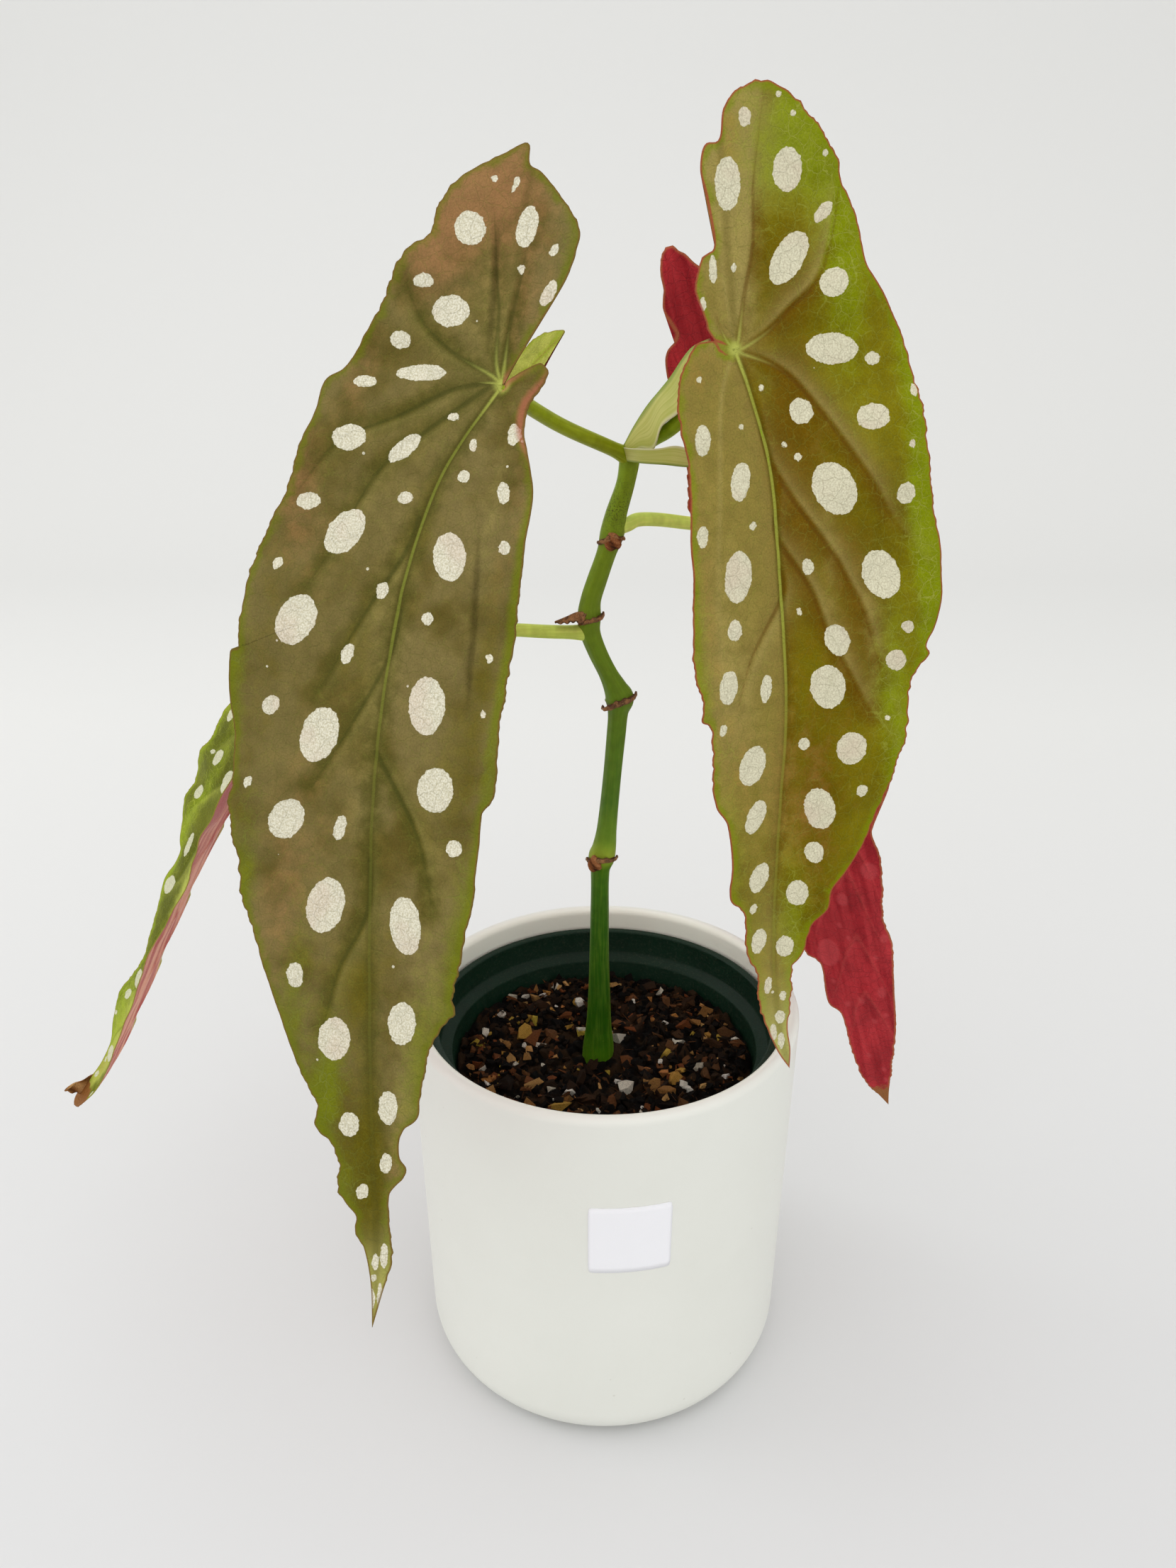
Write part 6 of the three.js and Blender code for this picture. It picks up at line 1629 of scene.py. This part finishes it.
papery = Finish("pale_stipule", 0.5, Specular_IOR_Level=0.2)
papery_across = papery.value("across")
papery_along = papery.value("along")
papery_spot = papery.place("CombineXYZ", {"X": papery_across, "Y": papery_along})["Vector"]
papery_lines = papery.noise(papery.stretch(papery_spot, (9, 0.7, 1)), 1.6, 4)
papery_cloud = papery.use(clouds, Place=papery.millimetres(), Broad=0.12, Fine=1.6)
from_keel = papery.calculate("ABSOLUTE", papery_across)
papery_colour = papery.paint(
    papery.mix(papery.ease(papery_lines, 0.4, 0.62), (188, 194, 98), (204, 207, 120)),
    (papery.ease(papery_cloud["Broad"], 0.4, 0.6, 0, 0.35), (174, 188, 82)),
    (papery.ease(from_keel, 0.02, 0.14, 0.7, 0), (112, 140, 42)),
    (papery.ease(from_keel, 0.84, 1, 0, 0.7), (222, 222, 186)),
    (papery.ease(papery_along, 0.96, 1, 0, 0.9), (150, 104, 58)),
)
papery.show(Base_Color=papery_colour, Roughness=papery.spread(papery_cloud["Fine"], 0.42, 0.58))
papery.bump(papery_lines, 0.06)
along = np.repeat(np.linspace(0, 1, SCALE_ROWS + 1)[:, None], SCALE_COLUMNS + 1, axis=1)
for stipule_name, shape in STIPULES.items():
    middle, across = scale_grid(shape, SCALE_ROWS, SCALE_COLUMNS)
    middle[..., 2] += 0.18 * np.sin(along * 17 + 2 * across) * np.abs(across) ** 2
    thickness = 0.42 - 0.2 * np.abs(across) ** 3
    stipule = sheet_mesh(stipule_name + "_scale", middle, thickness, papery, across=across, along=along)
    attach(stipule, "root")
    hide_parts(stipule_name)

# The dried stipules: brown papery remains that clasp the cane at its nodes, torn along the upper
# edge, cracked and fibrous. One keeps a long shard that points to the left, and two have a corky knob
# in front, which grew with them.
COLLARS = {
    "dry_stipule_node_1": {
        "node": (-1, 0, 171.2), "radius": 4.4, "turns": (150, 375), "height": 2.4, "lean": (0.08, 0.3),
        "tear": 0.7,
    },
    "dry_stipule_node_2": {
        "node": (3.6, 0, 220), "radius": 4.6, "turns": (165, 400), "height": 2.8, "lean": (0.42, 0.2),
        "tear": 0.9,
    },
    "dry_stipule_node_3": {
        "node": (-4.7, 0, 243.6), "radius": 3.7, "turns": (235, 420), "height": 2.4, "lean": (0.3, 0.1),
        "tear": 0.7,
    },
    "dry_stipule_node_4": {
        "node": (1, 0, 264.8), "radius": 3.6, "turns": (190, 350), "height": 2.4, "lean": (0.15, 0.35),
        "tear": 0.8,
    },
}
KNOBS = {
    "dry_stipule_node_1": {"at": (-3, -3.4, 171.2), "half": (2, 1.3, 2.5)},
    "dry_stipule_node_4": {"at": (1.5, -3, 265.4), "half": (2.2, 1, 2.4)},
}
SHARD = {
    "keel": [(-5.2, -2.8, 246.4), (-8, -1.9, 246), (-11, -1.6, 244.6), (-14, -1.5, 243.3)],
    "near": [(-1.3, -0.6, -3.4), (-0.5, -1.2, -2.2), (0, -1, -1.3), (0, -0.3, -0.3)],
    "far": [(0, 0.6, -0.8), (0, 1.4, -0.9), (0, 1, -0.6), (0, 0.3, -0.2)],
}
COLLAR_COLUMNS = 110
COLLAR_ROWS = 10
SHARD_ROWS = 40
SHARD_COLUMNS = 16
RING_SHARE = 0.62
withered = Finish("withered_scale", 0.7, Specular_IOR_Level=0.3)
withered_cloud = withered.use(clouds, Place=withered.millimetres(), Broad=0.7, Fine=4)
withered_edge = withered.calculate("ABSOLUTE", withered.value("across"))
withered_colour = withered.paint(
    withered.mix(withered.ease(withered_cloud["Broad"], 0.35, 0.65), (74, 46, 24), (154, 108, 62)),
    (withered.ease(withered_cloud["Fine"], 0.45, 0.65, 0, 0.7), (190, 150, 100)),
    (withered.ease(withered_edge, 0.8, 1, 0, 0.6), (44, 24, 14)),
)
withered.show(Base_Color=withered_colour, Roughness=withered.spread(withered_cloud["Fine"], 0.55, 0.85))
withered.bump(withered_cloud["Fine"], 0.25)
knob_finish = earth_finish("corky_knob", [(60, 38, 22), (148, 90, 50), (190, 134, 86)], 0.75, 0.35)


def collar_grid(collar, columns, rows):
    """The middle surface of a torn collar, round the cane by its angle and up it by its height."""
    share = np.linspace(0, 1, columns + 1)[:, None]
    level = np.linspace(-0.5, 0.5, rows + 1)[None]
    angle = np.radians(collar["turns"][0] + (collar["turns"][1] - collar["turns"][0]) * share)
    flare = 1 + 0.05 * level + 0.03 * np.sin(9 * angle)
    x = collar["radius"] * np.cos(angle) * flare
    y = collar["radius"] * np.sin(angle) * flare
    lean = collar["lean"][0] * x - collar["lean"][1] * y
    ends = 0.35 + 0.65 * np.sin(math.pi * share)
    torn = np.sin(7.3 * angle) * np.sin(3.1 * angle + 0.8) + 0.35 * np.sin(31 * angle) * np.sin(17 * angle)
    ragged = collar["tear"] * torn * np.where(level > 0, 1.4 * level + 0.3, 0.3)
    rise = lean + RING_SHARE * (level * collar["height"] * ends + ragged)
    middle = np.stack([x, y, rise], axis=-1) + np.array(collar["node"])
    return middle, np.repeat(2 * level, columns + 1, axis=0)


def dry_shard():
    """The long shard that one dried stipule keeps."""
    middle, across = scale_grid(SHARD, SHARD_ROWS, SHARD_COLUMNS)
    middle[..., 2] += 0.25 * np.sin(np.arange(SHARD_ROWS + 1) * 0.7)[:, None] * np.abs(across)
    return sheet_mesh("dry_shard", middle, 0.6 - 0.25 * np.abs(across) ** 2, withered, across=across)


def corky_knob(name, knob):
    """A lumpy knob of cork."""
    shape, faces = ball(4)
    x, y, z = shape.T
    lumpy = 0.1 * np.sin(4 * x + 3 * z) + 0.05 * np.sin(11 * z - 7 * y + 5 * x)
    grown = shape * (1 + lumpy)[:, None] * knob["half"] + knob["at"]
    corky = make_mesh(name, grown, faces.tolist(), knob_finish)
    add_values(corky, tone=np.clip(0.5 + 3 * lumpy + 0.25 * z, 0, 1))
    return corky


for collar_name, collar in COLLARS.items():
    middle, across = collar_grid(collar, COLLAR_COLUMNS, COLLAR_ROWS)
    thickness = 0.75 - 0.4 * np.abs(across) ** 2
    dried = [sheet_mesh(collar_name + "_collar", middle, thickness, withered, across=across)]
    if collar_name == "dry_stipule_node_3":
        dried.append(dry_shard())
    if collar_name in KNOBS:
        dried.append(corky_knob(collar_name + "_knob", KNOBS[collar_name]))
    for piece in dried:
        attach(piece, "root")
        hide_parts(collar_name)
